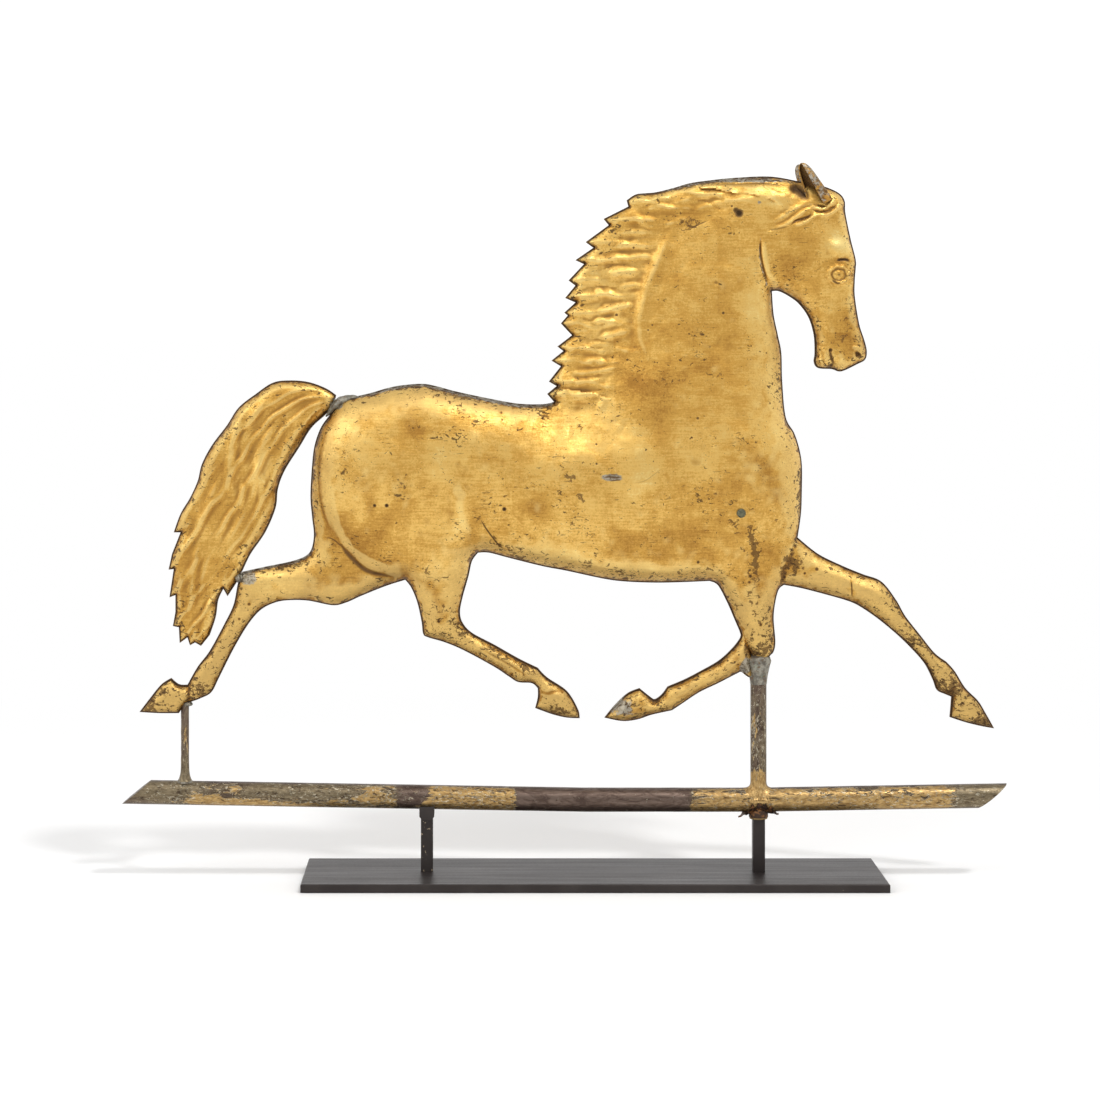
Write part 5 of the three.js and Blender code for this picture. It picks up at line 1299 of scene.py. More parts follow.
# Share of the radius beyond which the bar's top and underside are darkened as painted shade of its round
# outline, how sharply, and what that takes off the gold and the olive
SHADED_RIM_FROM_SHARE = 0.95
SHADED_RIM_SHARPNESS = 14.0
SHADED_RIM_GOLD = 0.5
SHADED_RIM_OLIVE = 0.4
# Share of the radius, upwards, where the wear of the upper side takes over, and how sharply
UPPER_FROM_SHARE = -0.30
UPPER_SHARPNESS = 1.4
COLLAR_HEIGHT = 3.9
TUBE_RADIUS = 6.35
TUBE_SIDES = 64

bar_rear_low, bar_rear_high = corners("bar_rear_tube")
bar_front_low, bar_front_high = corners("bar_front_tube")
spindle_x = middle("spindle_tube")[0]
joint_x = (bar_rear_high.x + bar_front_low.x) / 2
bar_axis_z = corners("socket_collar")[0].z + COLLAR_HEIGHT + BAR_RADIUS
rise_slope = math.tan(math.radians(BAR_RISE_DEGREES))

# Heights on the tube, with the shares of gold, of olive and of flakes there
tube_wear_rows = [
    (72, 0.85, 0.35, 0.4), (83, 0.75, 0.40, 0.6), (88, 0.20, 0.55, 0.9), (110, 0.12, 0.55, 0.9),
    (128, 0.24, 0.50, 1.0), (148, 0.08, 0.40, 0.7), (176, 0.00, 0.40, 0.5),
]
# Places along the bar, with the shares of gold above and below, of olive and of flakes there
bar_wear_rows = [
    (-352, 0.08, 0.12, 0.35, 0.4), (-332, 0.10, 0.22, 0.55, 0.7), (-300, 0.14, 0.42, 0.70, 0.9),
    (-285, 0.30, 0.80, 0.55, 0.6), (-237, 0.30, 0.88, 0.50, 0.7), (-215, 0.34, 0.76, 0.50, 0.9),
    (-190, 0.34, 0.66, 0.50, 0.9), (-165, 0.46, 0.56, 0.55, 0.9), (-150, 0.65, 0.65, 0.60, 1.0),
    (-136, 0.55, 0.60, 0.50, 1.0), (-130, 0.12, 0.15, 0.25, 0.6), (-110, 0.15, 0.20, 0.25, 0.6),
    (-104, 0.54, 0.70, 0.46, 0.9), (-87, 0.60, 0.84, 0.42, 0.9), (-50, 0.56, 0.84, 0.40, 1.0),
    (-40, 0.60, 0.65, 0.40, 1.0), (-35, 0.00, 0.00, 0.00, 0.1), (96, 0.02, 0.02, 0.05, 0.1),
    (101, 0.62, 0.70, 0.40, 0.8), (125, 0.66, 0.74, 0.40, 0.7), (150, 0.62, 0.74, 0.45, 0.8),
    (168, 0.60, 0.82, 0.48, 0.7), (195, 0.48, 0.82, 0.40, 0.6), (206, 0.64, 0.84, 0.46, 0.8),
    (268, 0.62, 0.84, 0.50, 0.9), (300, 0.64, 0.80, 0.56, 0.8), (312, 0.25, 0.38, 0.75, 0.8),
    (352, 0.15, 0.25, 0.60, 0.6),
]


def bar_z(x):
    """Height of the bar's axis, which rises a little towards both ends."""
    return bar_axis_z + rise_slope * np.where(x < joint_x, joint_x - x, np.maximum(0, x - spindle_x))


def bar_tube(name, start, end, slants, seed, material, replaced):
    """Drawn tube with small dents; a slanted end is closed by its own plate."""
    stations = np.linspace(start, end, round((end - start) / BAR_STEP) + 1)
    angles = round_angles(BAR_SIDES)
    rings = []
    for x in stations:
        blend_from = max(0.0, 1 - (x - start) / BAR_SLANT_FADE) * slants[0]
        blend_to = max(0.0, 1 - (end - x) / BAR_SLANT_FADE) * slants[1]
        lean = (blend_from + blend_to) * np.sin(angles) / 2
        places = np.column_stack([np.full(BAR_SIDES, x) * DENT_STRETCH, angles * 2])
        radius = BAR_RADIUS * (1 - DENT_SHARE * np.abs(ripple(places, DENT_SIZE, seed)) - DENT_BASE)
        rings.append(np.column_stack([
            x + lean, -np.cos(angles) * radius, bar_z(x + lean) + np.sin(angles) * radius]))
    vertices, faces = skinned(rings)
    x = vertices[:, 0]
    rise = (vertices[:, 2] - bar_z(x)) / BAR_RADIUS
    places, above, below, olive, flakes = np.array(bar_wear_rows).T
    upper = smooth_step(UPPER_SHARPNESS * (rise - UPPER_FROM_SHARE))
    gold = upper * np.interp(x, places, above) + (1 - upper) * np.interp(x, places, below)
    # painted shade: the very top and underside of the bar lose their gold and olive and go brown
    shaded_rim = smooth_step(SHADED_RIM_SHARPNESS * (np.abs(rise) - SHADED_RIM_FROM_SHARE))
    olive = np.interp(x, places, olive) - SHADED_RIM_OLIVE * shaded_rim
    shades = {"gold": gold - SHADED_RIM_GOLD * shaded_rim, "olive": olive, "flakes": np.interp(x, places, flakes)}
    add_piece(name, vertices, faces, material, "worn_gilt", replaced, shades)


def arrow_bar(material):
    """The two parts of the bar, each with a slanted outer end."""
    rear_tip = bar_rear_low.x + BAR_SLANT / 2
    front_tip = bar_front_high.x - BAR_SLANT / 2
    bar_tube("rear_bar", rear_tip, joint_x - SEAM_HALF, (BAR_SLANT, 0), 41, material,
             ["bar_rear_tube", "bar_rear_plate"])
    bar_tube("front_bar", joint_x + SEAM_HALF, front_tip, (0, BAR_SLANT), 42, material,
             ["bar_front_tube", "bar_front_plate"])


# Torn patch under the bar

PATCH_SHEET = 0.7
PATCH_LIFT = 0.15
PATCH_CURL = 0.4
PATCH_COLUMNS = 60
PATCH_ROWS = 16
PATCH_TEAR = [(0.16, 4, 61), (0.10, 1.6, 62)]
PATCH_TEAR_RANGE = (0.5, 1.2)
# Share of the patch's length, how far it hangs off the bar and how far round it reaches, in degrees
patch_rows = [
    (0.00, 3.3, 4), (0.06, 2.8, 14), (0.13, 1.5, 34), (0.20, 1.9, 52), (0.27, 0.5, 70),
    (0.45, 0.1, 78), (0.70, 0.1, 74), (0.80, 0.8, 60), (0.88, 0.9, 40), (0.95, 1.9, 26), (1.00, 1.2, 8),
]


def torn_patch(material):
    """Sheet round the underside of the bar, with ragged ends that hang off it."""
    low, high = corners("socket_patch")
    shares, hangs, reaches = np.array(patch_rows).T
    rings = []
    for share in np.linspace(0, 1, PATCH_COLUMNS + 1):
        x = low.x + (high.x - low.x) * share
        tear = np.clip(1 + ripples(np.array([[x, 0.0]]), PATCH_TEAR)[0], *PATCH_TEAR_RANGE)
        half_arc = math.radians(np.interp(share, shares, reaches)) * tear
        arc = np.linspace(-half_arc, half_arc, PATCH_ROWS + 1)
        inner = BAR_RADIUS + PATCH_LIFT + PATCH_CURL * (np.abs(arc) / half_arc) ** 6
        out = np.column_stack([np.sin(arc), -np.cos(arc)])
        ring = np.vstack([out * (inner + PATCH_SHEET)[:, None], (out * inner[:, None])[::-1]])
        hang = np.interp(share, shares, hangs)
        rings.append(np.column_stack([np.full(len(ring), x), ring[:, 0], bar_z(x) + ring[:, 1] - hang]))
    add_piece("torn_patch", *skinned(rings), material, "bare_copper", ["socket_patch"])


# Upright tube and strut

SADDLE_HEIGHT = 5.5
SADDLE_REACH = 6.0
SADDLE_DEPTH = 1.5
SADDLE_POWER = 2.2
SADDLE_RINGS = 14
SADDLE_GAP = 0.5
TUBE_RINGS = 90
STRUT_FLARE = 2.6
STRUT_FLARE_LENGTH = 4.0
STRUT_SIDES = 36
STRUT_RINGS = 60
# Shares of gold, of olive and of flakes at the strut's foot and top
strut_wear = {"gold": (0.02, 0.20), "olive": (0.75, 0.30), "flakes": (0.7, 0.4)}


def upright_tube(material):
    """Tube from the collar up into the chest, with a saddle of solder where it leaves the bar."""
    low, high = corners("spindle_tube")
    angles = round_angles(TUBE_SIDES)
    across, aside = np.cos(angles), np.sin(angles)

    def ring(radius, z):
        return np.column_stack([spindle_x + across * radius, aside * radius, z + np.zeros(TUBE_SIDES)])

    def on_bar(radius):
        return bar_axis_z + np.sqrt(np.maximum(BAR_RADIUS ** 2 - (aside * radius) ** 2, 1))

    widest = TUBE_RADIUS + SADDLE_REACH
    rings = [ring(TUBE_RADIUS, low.z), ring(TUBE_RADIUS, bar_axis_z)]
    rings.append(ring(widest, on_bar(widest) - SADDLE_DEPTH))
    for share in np.linspace(0, 1, SADDLE_RINGS):
        radius = TUBE_RADIUS + SADDLE_REACH * (1 - share) ** SADDLE_POWER
        rings.append(ring(radius, on_bar(radius) + SADDLE_HEIGHT * share ** SADDLE_POWER))
    start = bar_axis_z + BAR_RADIUS + SADDLE_HEIGHT + SADDLE_GAP
    rings += [ring(TUBE_RADIUS, z) for z in np.linspace(start, high.z, TUBE_RINGS)]
    vertices, faces = skinned(rings)
    heights, *levels = np.array(tube_wear_rows).T
    shades = {shade: np.interp(vertices[:, 2], heights, level)
              for shade, level in zip(("gold", "olive", "flakes"), levels)}
    add_piece("upright_tube", vertices, faces, material, "worn_gilt", ["spindle_tube"], shades)


def strut(material):
    """Rod from the bar up to the trailing hind hoof, flared at its foot."""
    low, high = corners("rear_strut")
    heights = np.linspace(low.z, high.z, STRUT_RINGS)
    flare = STRUT_FLARE * np.exp(-(heights - low.z) / STRUT_FLARE_LENGTH)
    profile = list(zip((high.x - low.x) / 2 + flare, heights))
    centre = ((low.x + high.x) / 2, 0)
    vertices, faces = upright(profile, centre, STRUT_SIDES, unevenness=0.02, seed=9)
    shades = {shade: np.interp(vertices[:, 2], (low.z, high.z), levels)
              for shade, levels in strut_wear.items()}
    add_piece("strut", vertices, faces, material, "worn_gilt", ["rear_strut"], shades)


# Materials

def plug(tree, node, inputs):
    """Links the sockets and sets the values that are given for a node's inputs."""
    for socket, value in inputs.items():
        if isinstance(value, bpy.types.NodeSocket):
            tree.links.new(value, node.inputs[socket])
        else:
            node.inputs[socket].default_value = value


def add(tree, kind, inputs=None, **settings):
    """A new node with its settings and inputs."""
    made = tree.nodes.new(kind)
    for key, value in settings.items():
        setattr(made, key, value)
    plug(tree, made, inputs or {})
    return made


def colour(red, green, blue):
    return (red, green, blue, 1.0)


class Look:
    """A procedural material in the making, with its noises in object space."""

    def __init__(self, name):
        self.material = bpy.data.materials.new(name)
        self.material.use_nodes = True
        self.tree = self.material.node_tree
        self.shader = self.tree.nodes["Principled BSDF"]
        self.place = add(self.tree, "ShaderNodeTexCoord").outputs["Object"]

    def noise(self, size, detail=3.0, roughness=0.5, stretch=(1, 1, 1), shift=0.0, warp=0.0):
        """Noise whose patches are about size millimetres, from 0 to 1."""
        moved = add(self.tree, "ShaderNodeMapping", {
            "Vector": self.place, "Location": (shift, shift * 0.7, -shift), "Scale": stretch})
        return add(self.tree, "ShaderNodeTexNoise", {
            "Vector": moved.outputs[0], "Scale": 1 / (size * MM), "Detail": detail,
            "Roughness": roughness, "Distortion": warp}).outputs["Fac"]

    def leaves(self, side):
        """Even tones of leaves laid side by side, from 0 to 1."""
        moved = add(self.tree, "ShaderNodeMapping", {
            "Vector": self.place, "Location": (0.013, 0.0, 0.021), "Scale": (1, 0, 1)})
        cells = add(self.tree, "ShaderNodeTexVoronoi", {
            "Vector": moved.outputs[0], "Scale": 1 / (side * MM), "Randomness": 0.25},
            distance="CHEBYCHEV")
        return add(self.tree, "ShaderNodeSeparateColor", {0: cells.outputs["Color"]}).outputs[0]

    def ramp(self, value, low, high, to_low=0.0, to_high=1.0):
        """Smooth change from one level to another as a value goes from low to high."""
        return add(self.tree, "ShaderNodeMapRange", {
            "Value": value, "From Min": low, "From Max": high, "To Min": to_low, "To Max": to_high},
            interpolation_type="SMOOTHSTEP").outputs[0]

    def math(self, operation, first, second=0.0):
        return add(self.tree, "ShaderNodeMath", {0: first, 1: second}, operation=operation).outputs[0]

    def total(self, start, *terms):
        """Start plus the values; one with a middle and a share adds its distance from it, times that."""
        terms = [term if isinstance(term, tuple) else (term, 0.0, 1.0) for term in terms]
        running = start - sum(middle * share for _, middle, share in terms)
        for value, _, share in terms:
            running = add(self.tree, "ShaderNodeMath", {0: value, 1: share, 2: running},
                          operation="MULTIPLY_ADD").outputs[0]
        return running

    def mix(self, share, first, second):
        return add(self.tree, "ShaderNodeMix", {0: share, 6: first, 7: second},
                   data_type="RGBA").outputs[2]

    def laid(self, base, over, value, low, high, to_low=0.0, to_high=1.0):
        """Base with a colour laid over it as a value goes from low to high."""
        return self.mix(self.ramp(value, low, high, to_low, to_high), base, over)

    def shade(self, name):
        """A value that the mesh carries at its points."""
        return add(self.tree, "ShaderNodeAttribute", attribute_name=name).outputs["Fac"]

    def finish(self, base, roughness, metallic, bumps):
        """The material, with each bump given as its height and its depth in millimetres."""
        plug(self.tree, self.shader, {"Base Color": base, "Roughness": roughness, "Metallic": metallic})
        normal = {}
        for height, depth in bumps:
            made = add(self.tree, "ShaderNodeBump", {
                "Height": height, "Distance": depth * MM, "Strength": 1.0, **normal})
            normal = {"Normal": made.outputs[0]}
        plug(self.tree, self.shader, normal)
        return self.material


PALE_GOLD = colour(0.92, 0.69, 0.265)
BRIGHT_GOLD = colour(0.80, 0.505, 0.140)
DEEP_GOLD = colour(0.61, 0.345, 0.075)
RED_GOLD = colour(0.41, 0.205, 0.042)
BROWN = colour(0.150, 0.082, 0.036)
DARK_BROWN = colour(0.055, 0.034, 0.022)
PIT_BROWN = colour(0.095, 0.055, 0.027)
SOOT_AND_SHADE_BLACK = colour(0.030, 0.019, 0.013)
BARE_PALE = colour(0.44, 0.41, 0.345)
BARE_DARK = colour(0.20, 0.18, 0.14)
LEAF_SIDE = 82.0


def gilt_look():
    """Gold leaf on copper, worn as the shades of the mesh say; these also carry painted highlights and
    painted shade.
    """
    look = Look("gilt_copper")
    # how thick the leaf is left, with lighter and darker places that are partly painted highlights and
    # painted shade
    grain = look.noise(1.5, 4, 0.75)
    brush = look.noise(1.3, 3, 0.65, stretch=(0.07, 1, 1))
    level = look.total(
        0.45, (look.shade("light_and_tone"), 0.0, 0.30), (look.noise(55, 2, warp=0.6), 0.5, 0.65),
        (look.leaves(LEAF_SIDE), 0.5, 0.13), (look.noise(13, 4, 0.62), 0.5, 0.55), (grain, 0.5, 0.70),
        (brush, 0.5, 0.50), (look.noise(1.3, 3, 0.65, stretch=(1, 1, 0.10), shift=1.0), 0.5, 0.15))
    base = look.mix(look.ramp(level, 0.08, 0.40), RED_GOLD, DEEP_GOLD)
    base = look.laid(base, BRIGHT_GOLD, level, 0.36, 0.60)
    base = look.laid(base, PALE_GOLD, level, 0.60, 0.92)
    # hollows darker, from dirt and painted shade; ridges lighter, from rubbing and painted highlight
    cavity = look.shade("cavity")
    base = look.laid(base, RED_GOLD, cavity, 0.04, 0.38, 0, 0.80)
    base = look.laid(base, BROWN, cavity, 0.28, 0.70, 0, 0.60)
    base = look.laid(base, PALE_GOLD, cavity, -0.08, -0.45, 0, 0.45)
    # brown sheet along the rim and where the leaf is rubbed off, and grey solder
    edge = look.shade("edge")
    mottle = look.noise(3.6, 4, 0.65, stretch=(0.8, 1, 0.9), shift=3.0, warp=0.8)
    rim = look.total(0.0, edge, (mottle, 0.5, 3.0))
    base = look.laid(base, DARK_BROWN, rim, 0.9, 1.8, 0.85, 0.0)
    cluster = look.noise(26, 3, 0.6, shift=9.0)
    near_edge = look.ramp(edge, 1.5, 15.0, 1.0, 0.0)
    rubbed = look.total(
        0.0, mottle, (cluster, 0.5, 0.35), (look.shade("brown"), 0.0, 0.40), (near_edge, 0.0, 0.04))
    brown = look.ramp(rubbed, 0.70, 0.735)
    base = look.mix(look.math("MULTIPLY", brown, 0.75), base, BROWN)
    blotch = look.noise(3.4, 4, 0.7)
    bare = look.mix(look.ramp(blotch, 0.40, 0.62), BARE_DARK, BARE_PALE)
    grey_level = look.total(0.0, look.shade("bare"), (blotch, 0.0, 0.8))
    base = look.laid(base, bare, grey_level, 0.80, 1.0, 0.0, 0.9)
    # specks, short scratches and pinholes
    speck = look.noise(2.6, 2.5, 0.55, stretch=(0.6, 1, 1), shift=7.0, warp=0.8)
    speck_level = look.total(
        0.0, speck, (cluster, 0.5, 0.38), (near_edge, 0.0, 0.10), (look.shade("brown"), 0.0, 0.09))
    pits = look.ramp(speck_level, 0.688, 0.712)
    dash = look.noise(1.5, 2, 0.5, stretch=(0.16, 1, 1), shift=12.0, warp=0.5)
    scratches = look.ramp(look.total(0.0, dash, (cluster, 0.5, 0.3)), 0.700, 0.730, 0.0, 0.6)
    hole = look.noise(1.0, 1, 0.4, shift=15.0)
    pinholes = look.ramp(look.total(0.0, hole, (cluster, 0.5, 0.25)), 0.745, 0.765)
    pits = look.math("MAXIMUM", pits, look.math("MAXIMUM", scratches, pinholes))
    base = look.mix(look.math("MULTIPLY", pits, 0.85), base, PIT_BROWN)
    # dirt and painted shade in grooves, pits, the eye and inside the ears
    soot_and_shade = look.shade("soot_and_shade")
    base = look.laid(base, BROWN, soot_and_shade, 0.08, 0.5, 0, 0.85)
    base = look.laid(base, SOOT_AND_SHADE_BLACK, soot_and_shade, 0.45, 1.0, 0, 0.85)

    rough = look.total(0.0, look.ramp(level, 0.25, 0.75, 0.52, 0.37), (brown, 0.0, 0.16))
    bumps = [(look.noise(7, 4, 0.55), 0.22), (grain, 0.16), (brush, 0.05), (pits, -0.14), (brown, -0.08)]
    return look.finish(base, rough, 1.0, bumps)


def solder_look():
    look = Look("old_solder")
    cloud = look.noise(4, 4, 0.6)
    base = look.mix(look.ramp(cloud, 0.35, 0.65), colour(0.35, 0.33, 0.27), colour(0.14, 0.125, 0.10))
    green = look.ramp(look.noise(7, 3, 0.6, shift=2.0), 0.52, 0.70, 0, 0.5)
    base = look.mix(green, base, colour(0.27, 0.31, 0.24))
    base = look.laid(base, BROWN, look.noise(3, 4, 0.7, shift=5.0), 0.52, 0.62, 0, 0.7)
    return look.finish(base, 0.6, 0.6, [(cloud, 0.5), (look.noise(1.2, 3), 0.2)])


def drawn_along(axis, share):
    """Noise scales that lengthen its patches along one axis."""
    return tuple(share if k == axis else 1 for k in range(3))


def worn_look(name, axis):
    """Tube whose leaf comes off in patches that are longer along the given axis."""
    look = Look(name)
    coarse = look.noise(18, 4, 0.6, stretch=drawn_along(axis, 0.28), warp=0.5)
    middling = look.noise(5.5, 5, 0.66, stretch=drawn_along(axis, 0.32), shift=2.0, warp=1.2)
    fine = look.noise(1.6, 4, 0.65, stretch=drawn_along(axis, 0.40), shift=4.0)
    # brown sheet, olive where the size still holds, gold where the leaf does
    brown = look.mix(
        look.ramp(middling, 0.38, 0.62), colour(0.085, 0.056, 0.044), colour(0.175, 0.126, 0.100))
    olive = look.mix(
        look.ramp(fine, 0.34, 0.66), colour(0.150, 0.115, 0.068), colour(0.262, 0.208, 0.128))
    olive_level = look.total(
        0.0, look.shade("olive"), (coarse, 0.5, -1.2), (middling, 0.5, 0.6), (fine, 0.5, 0.2))
    base = look.mix(look.ramp(olive_level, 0.20, 0.60), brown, olive)
    gold = look.mix(look.ramp(fine, 0.34, 0.66), colour(0.300, 0.178, 0.064), colour(0.560, 0.375, 0.152))
    gold_level = look.total(
        0.0, look.shade("gold"), (coarse, 0.5, 1.3), (middling, 0.5, 1.5), (fine, 0.5, 0.3))
    leaf = look.ramp(gold_level, 0.38, 0.60)
    base = look.mix(leaf, base, gold)
    # torn edges of the leaf: a dark line inside a pale one, and pale crumbs
    flakes = look.shade("flakes")
    torn = look.math("ABSOLUTE", look.total(0.0, (gold_level, 0.43, 1.0)))
    torn = look.ramp(torn, 0.010, 0.040, 0.85, 0.0)
    base = look.mix(look.math("MULTIPLY", torn, look.ramp(flakes, 0.15, 0.6)), base, DARK_BROWN)
    pale = look.mix(look.ramp(fine, 0.42, 0.58), colour(0.30, 0.27, 0.20), colour(0.72, 0.64, 0.48))
    lifted = look.math("ABSOLUTE", look.total(0.0, (gold_level, 0.49, 1.0)))
    lifted = look.ramp(lifted, 0.006, 0.030, 1.0, 0.0)
    loose = look.total(0.0, (flakes, 0.0, 0.35), look.noise(9, 3, shift=9.0))
    lifted = look.math("MULTIPLY", lifted, look.ramp(loose, 0.56, 0.72))
    crumbs = look.noise(2.2, 4, 0.65, stretch=drawn_along(axis, 0.5), shift=8.0, warp=1.5)
    crumbs = look.ramp(look.total(0.0, crumbs, (flakes, 0.0, 0.14)), 0.690, 0.720)
    lifted = look.math("MAXIMUM", lifted, crumbs)
    base = look.mix(look.math("MULTIPLY", lifted, 0.8), base, pale)
    pits = look.noise(2.6, 4, 0.65, stretch=drawn_along(axis, 0.35), shift=14.0, warp=1.0)
    pits = look.ramp(look.total(0.0, pits, (flakes, 0.0, 0.09)), 0.665, 0.690)
    base = look.mix(look.math("MULTIPLY", pits, 0.8), base, DARK_BROWN)
    # painted shade: darker where the tube turns away from the view, along its outline
    facing = add(look.tree, "ShaderNodeLayerWeight", {"Blend": 0.5}).outputs["Facing"]
    base = look.laid(base, DARK_BROWN, facing, 0.45, 0.85, 0.0, 0.7)
    rough = look.ramp(middling, 0.3, 0.7, 0.50, 0.32)
    bumps = [(middling, 0.30), (leaf, 0.10), (lifted, 0.18), (pits, -0.12), (fine, 0.08)]
    return look.finish(base, rough, 0.85, bumps)


def copper_look():
    look = Look("bare_copper")
    cloud = look.noise(3.5, 4, 0.6)
    base = look.mix(look.ramp(cloud, 0.30, 0.52), colour(0.46, 0.21, 0.075), colour(0.070, 0.043, 0.031))
    return look.finish(base, 0.5, 0.85, [(cloud, 0.3)])


def patina_look():
    look = Look("rivet_patina")
    cloud = look.noise(2.2, 4, 0.6)
    base = look.mix(look.ramp(cloud, 0.35, 0.65), colour(0.17, 0.165, 0.095), colour(0.075, 0.080, 0.055))
    return look.finish(base, 0.55, 0.6, [(cloud, 0.15)])


def brass_look():
    look = Look("bearing_brass")
    rings = look.noise(1.2, 2, 0.5, stretch=(0.1, 0.1, 1.5))
    base = look.mix(look.ramp(rings, 0.4, 0.6), colour(0.34, 0.225, 0.095), colour(0.21, 0.14, 0.065))
    return look.finish(base, 0.38, 1.0, [(rings, 0.02)])


def black_look(name, chip_threshold):
    """Satin black paint; the lower the threshold, the more chips."""
    look = Look(name)
    cloud = look.noise(30, 3, 0.5)
    grain = look.noise(1.1, 4, 0.6)
    streaks = look.noise(5, 3, 0.6, stretch=(0.04, 1, 1), shift=2.0)
    base = look.mix(look.ramp(cloud, 0.35, 0.7), colour(0.019, 0.015, 0.014), colour(0.030, 0.025, 0.023))
    chips = look.ramp(look.noise(3.2, 3, 0.55, shift=6.0), chip_threshold, chip_threshold + 0.03, 0, 0.8)
    base = look.mix(chips, base, colour(0.42, 0.33, 0.22))
    look.shader.inputs["Specular Tint"].default_value = colour(1.0, 0.91, 0.88)
    look.shader.inputs["Specular IOR Level"].default_value = 0.36
    rough = look.total(0.42, (grain, 0.5, 0.25), (streaks, 0.5, 0.35))
    return look.finish(base, rough, 0.0, [(grain, 0.05), (streaks, 0.04)])


def steel_look():
    look = Look("bright_steel")
    rings = look.noise(0.9, 2, 0.5, stretch=(0.1, 0.1, 1.5))
    base = look.mix(look.ramp(rings, 0.4, 0.6), colour(0.56, 0.56, 0.55), colour(0.42, 0.42, 0.41))
    return look.finish(base, 0.32, 1.0, [(rings, 0.02)])


# Studio

PHOTO_SIDE = 1100
HORIZON_ROW = 314.5
CAMERA_COLUMN = 485.35
CAMERA_LENS = 88.0
CAMERA_SENSOR = 36
CAMERA_REACH = 100
CAMERA_PLACE = (-0.0627, -2.134, 0.448)
FLOOR_REACH = 45
FLOOR_DROP = 0.0004
FLOOR_NEAR = 0.55
FLOOR_FAR = 1.15
FLOOR_GREY = 0.91
FRONT_LEVEL = 0.66
SIDE_LEVEL = 1.08
TOP_LEVEL = 0.76
# Name, place, the point it is aimed at, side and power
lamp_rows = [
    ("key", (1.25, -1.6, 3.3), (0, 0, 0.25), 0.4, 45),
    ("left", (-2.4, -1.3, 1.7), (0, 0, 0.35), 1.3, 9),
    ("upper left", (-1.3, -1.9, 2.5), (0, 0, 0.35), 1.5, 14),
]


def camera():
    """Camera of the photograph: level, with its shift from where the horizon lies."""
    data = bpy.data.cameras.new("camera")
    data.lens = CAMERA_LENS
    data.sensor_width = CAMERA_SENSOR
    data.shift_x = (PHOTO_SIDE / 2 - CAMERA_COLUMN) / PHOTO_SIDE
    data.shift_y = (HORIZON_ROW - PHOTO_SIDE / 2) / PHOTO_SIDE
    data.clip_end = CAMERA_REACH
    made = add_object("camera", data)
    made.location = CAMERA_PLACE
    made.rotation_euler = (math.pi / 2, 0, 0)
    bpy.context.scene.camera = made


def lamps():
    for name, place, target, side, power in lamp_rows:
        data = bpy.data.lights.new(name, "AREA")
        data.shape = "SQUARE"
        data.size = side
        data.energy = power
        made = add_object(name, data)
        made.location = place
        made.rotation_euler = (Vector(target) - Vector(place)).to_track_quat("-Z", "Y").to_euler()


def floor_look():
    """Matte; for the camera and in reflections it fades into plain white away from the stand."""
    material = bpy.data.materials.new("floor")
    material.use_nodes = True
    tree = material.node_tree
    tree.nodes.clear()
    place = add(tree, "ShaderNodeTexCoord").outputs["Object"]
    distance = add(tree, "ShaderNodeVectorMath", {0: place}, operation="LENGTH").outputs["Value"]
    fade = add(tree, "ShaderNodeMapRange", {
        "Value": distance, "From Min": FLOOR_NEAR, "From Max": FLOOR_FAR},
        interpolation_type="SMOOTHSTEP")
    matte = add(tree, "ShaderNodeBsdfDiffuse", {"Color": colour(FLOOR_GREY, FLOOR_GREY, FLOOR_GREY)})
    white = add(tree, "ShaderNodeEmission", {"Color": colour(1, 1, 1), "Strength": 1.0})
    faded = add(tree, "ShaderNodeMixShader", {
        0: fade.outputs[0], 1: matte.outputs[0], 2: white.outputs[0]})
    rays = add(tree, "ShaderNodeLightPath")
    seen = rays.outputs["Is Camera Ray"]
    for kind in ("Is Glossy Ray", "Is Transmission Ray"):
        either = {0: seen, 1: rays.outputs[kind]}
        seen = add(tree, "ShaderNodeMath", either, operation="MAXIMUM").outputs[0]
    both = add(tree, "ShaderNodeMixShader", {0: seen, 1: matte.outputs[0], 2: faded.outputs[0]})
    add(tree, "ShaderNodeOutputMaterial", {"Surface": both.outputs[0]})
    return material


def studio_floor():
    mesh = bpy.data.meshes.new("floor")
    places = [(x * FLOOR_REACH, y * FLOOR_REACH, 0) for x, y in ((-1, -1), (1, -1), (1, 1), (-1, 1))]
    mesh.from_pydata(places, [], [(0, 1, 2, 3)])
    mesh.materials.append(floor_look())
    floor = add_object("floor", mesh)
    floor.location = (0, 0, -FLOOR_DROP)


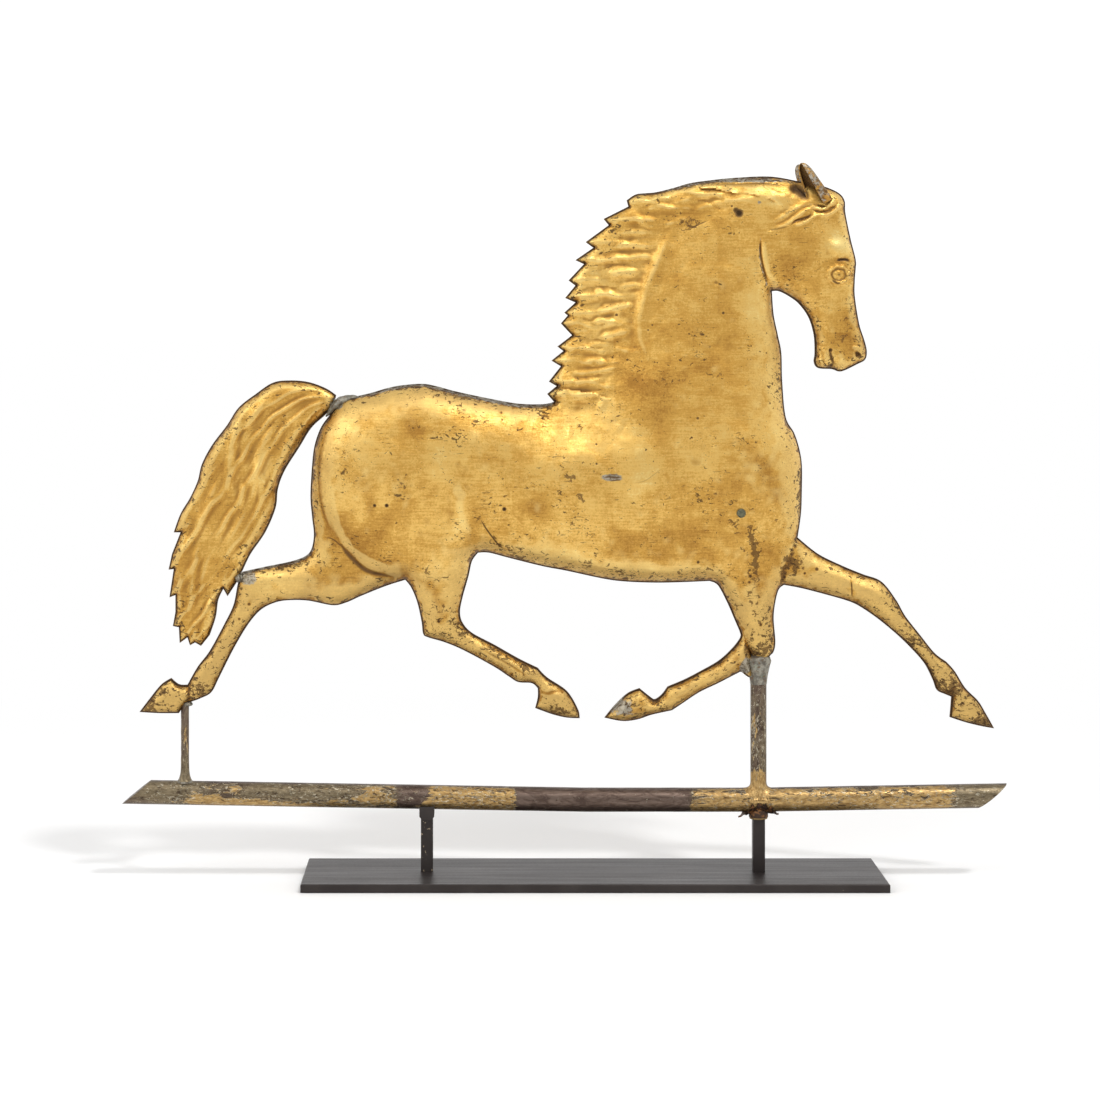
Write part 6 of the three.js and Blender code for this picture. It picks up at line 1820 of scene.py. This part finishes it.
def studio_world():
    """White all round: less in front, where the camera is, and above."""
    world = bpy.data.worlds.new("studio")
    world.use_nodes = True
    tree = world.node_tree
    tree.nodes.clear()
    place = add(tree, "ShaderNodeTexCoord").outputs["Generated"]
    split = add(tree, "ShaderNodeSeparateXYZ", {0: place})
    round_level = add(tree, "ShaderNodeMapRange", {
        "Value": split.outputs["Y"], "From Min": -0.95, "From Max": 0.0, "To Min": FRONT_LEVEL,
        "To Max": SIDE_LEVEL}, interpolation_type="SMOOTHSTEP")
    above = add(tree, "ShaderNodeMapRange", {
        "Value": split.outputs["Z"], "From Min": 0.30, "From Max": 0.90}, interpolation_type="SMOOTHSTEP")
    strength = add(tree, "ShaderNodeMix", {0: above.outputs[0], 2: round_level.outputs[0], 3: TOP_LEVEL})
    background = add(tree, "ShaderNodeBackground", {
        "Color": colour(1, 1, 1), "Strength": strength.outputs[0]})
    add(tree, "ShaderNodeOutputWorld", {"Surface": background.outputs[0]})
    bpy.context.scene.world = world


# The scene

def dress_nodes(looks):
    """The CAD pieces that stay get the look of their record slot."""
    slots = {part["node"]: part["material_slot"] for part in frame["record"]["subparts"]}
    for name, node in frame["nodes"].items():
        node.data.materials.clear()
        node.data.materials.append(looks[slots[name]])


bpy.context.scene.view_settings.view_transform = "Standard"
looks = {
    "gilt_copper": gilt_look(),
    "old_solder": solder_look(),
    "worn_gilt": worn_look("worn_gilt", 0),
    "bare_copper": copper_look(),
    "bearing_brass": brass_look(),
    "black_paint": black_look("black_paint", 0.76),
    "bright_steel": steel_look(),
}
dress_nodes(looks)
frame["nodes"]["cradle_post"].data.materials[0] = black_look("chipped_paint", 0.63)
for build in (stamped_bodies, stamped_tails, lower_foreleg, ears):
    build(looks["gilt_copper"])
solders(looks["old_solder"])
rivet(patina_look())
arrow_bar(looks["worn_gilt"])
torn_patch(looks["bare_copper"])
upright_look = worn_look("worn_gilt_upright", 2)
upright_tube(upright_look)
strut(upright_look)
camera()
studio_floor()
studio_world()
lamps()
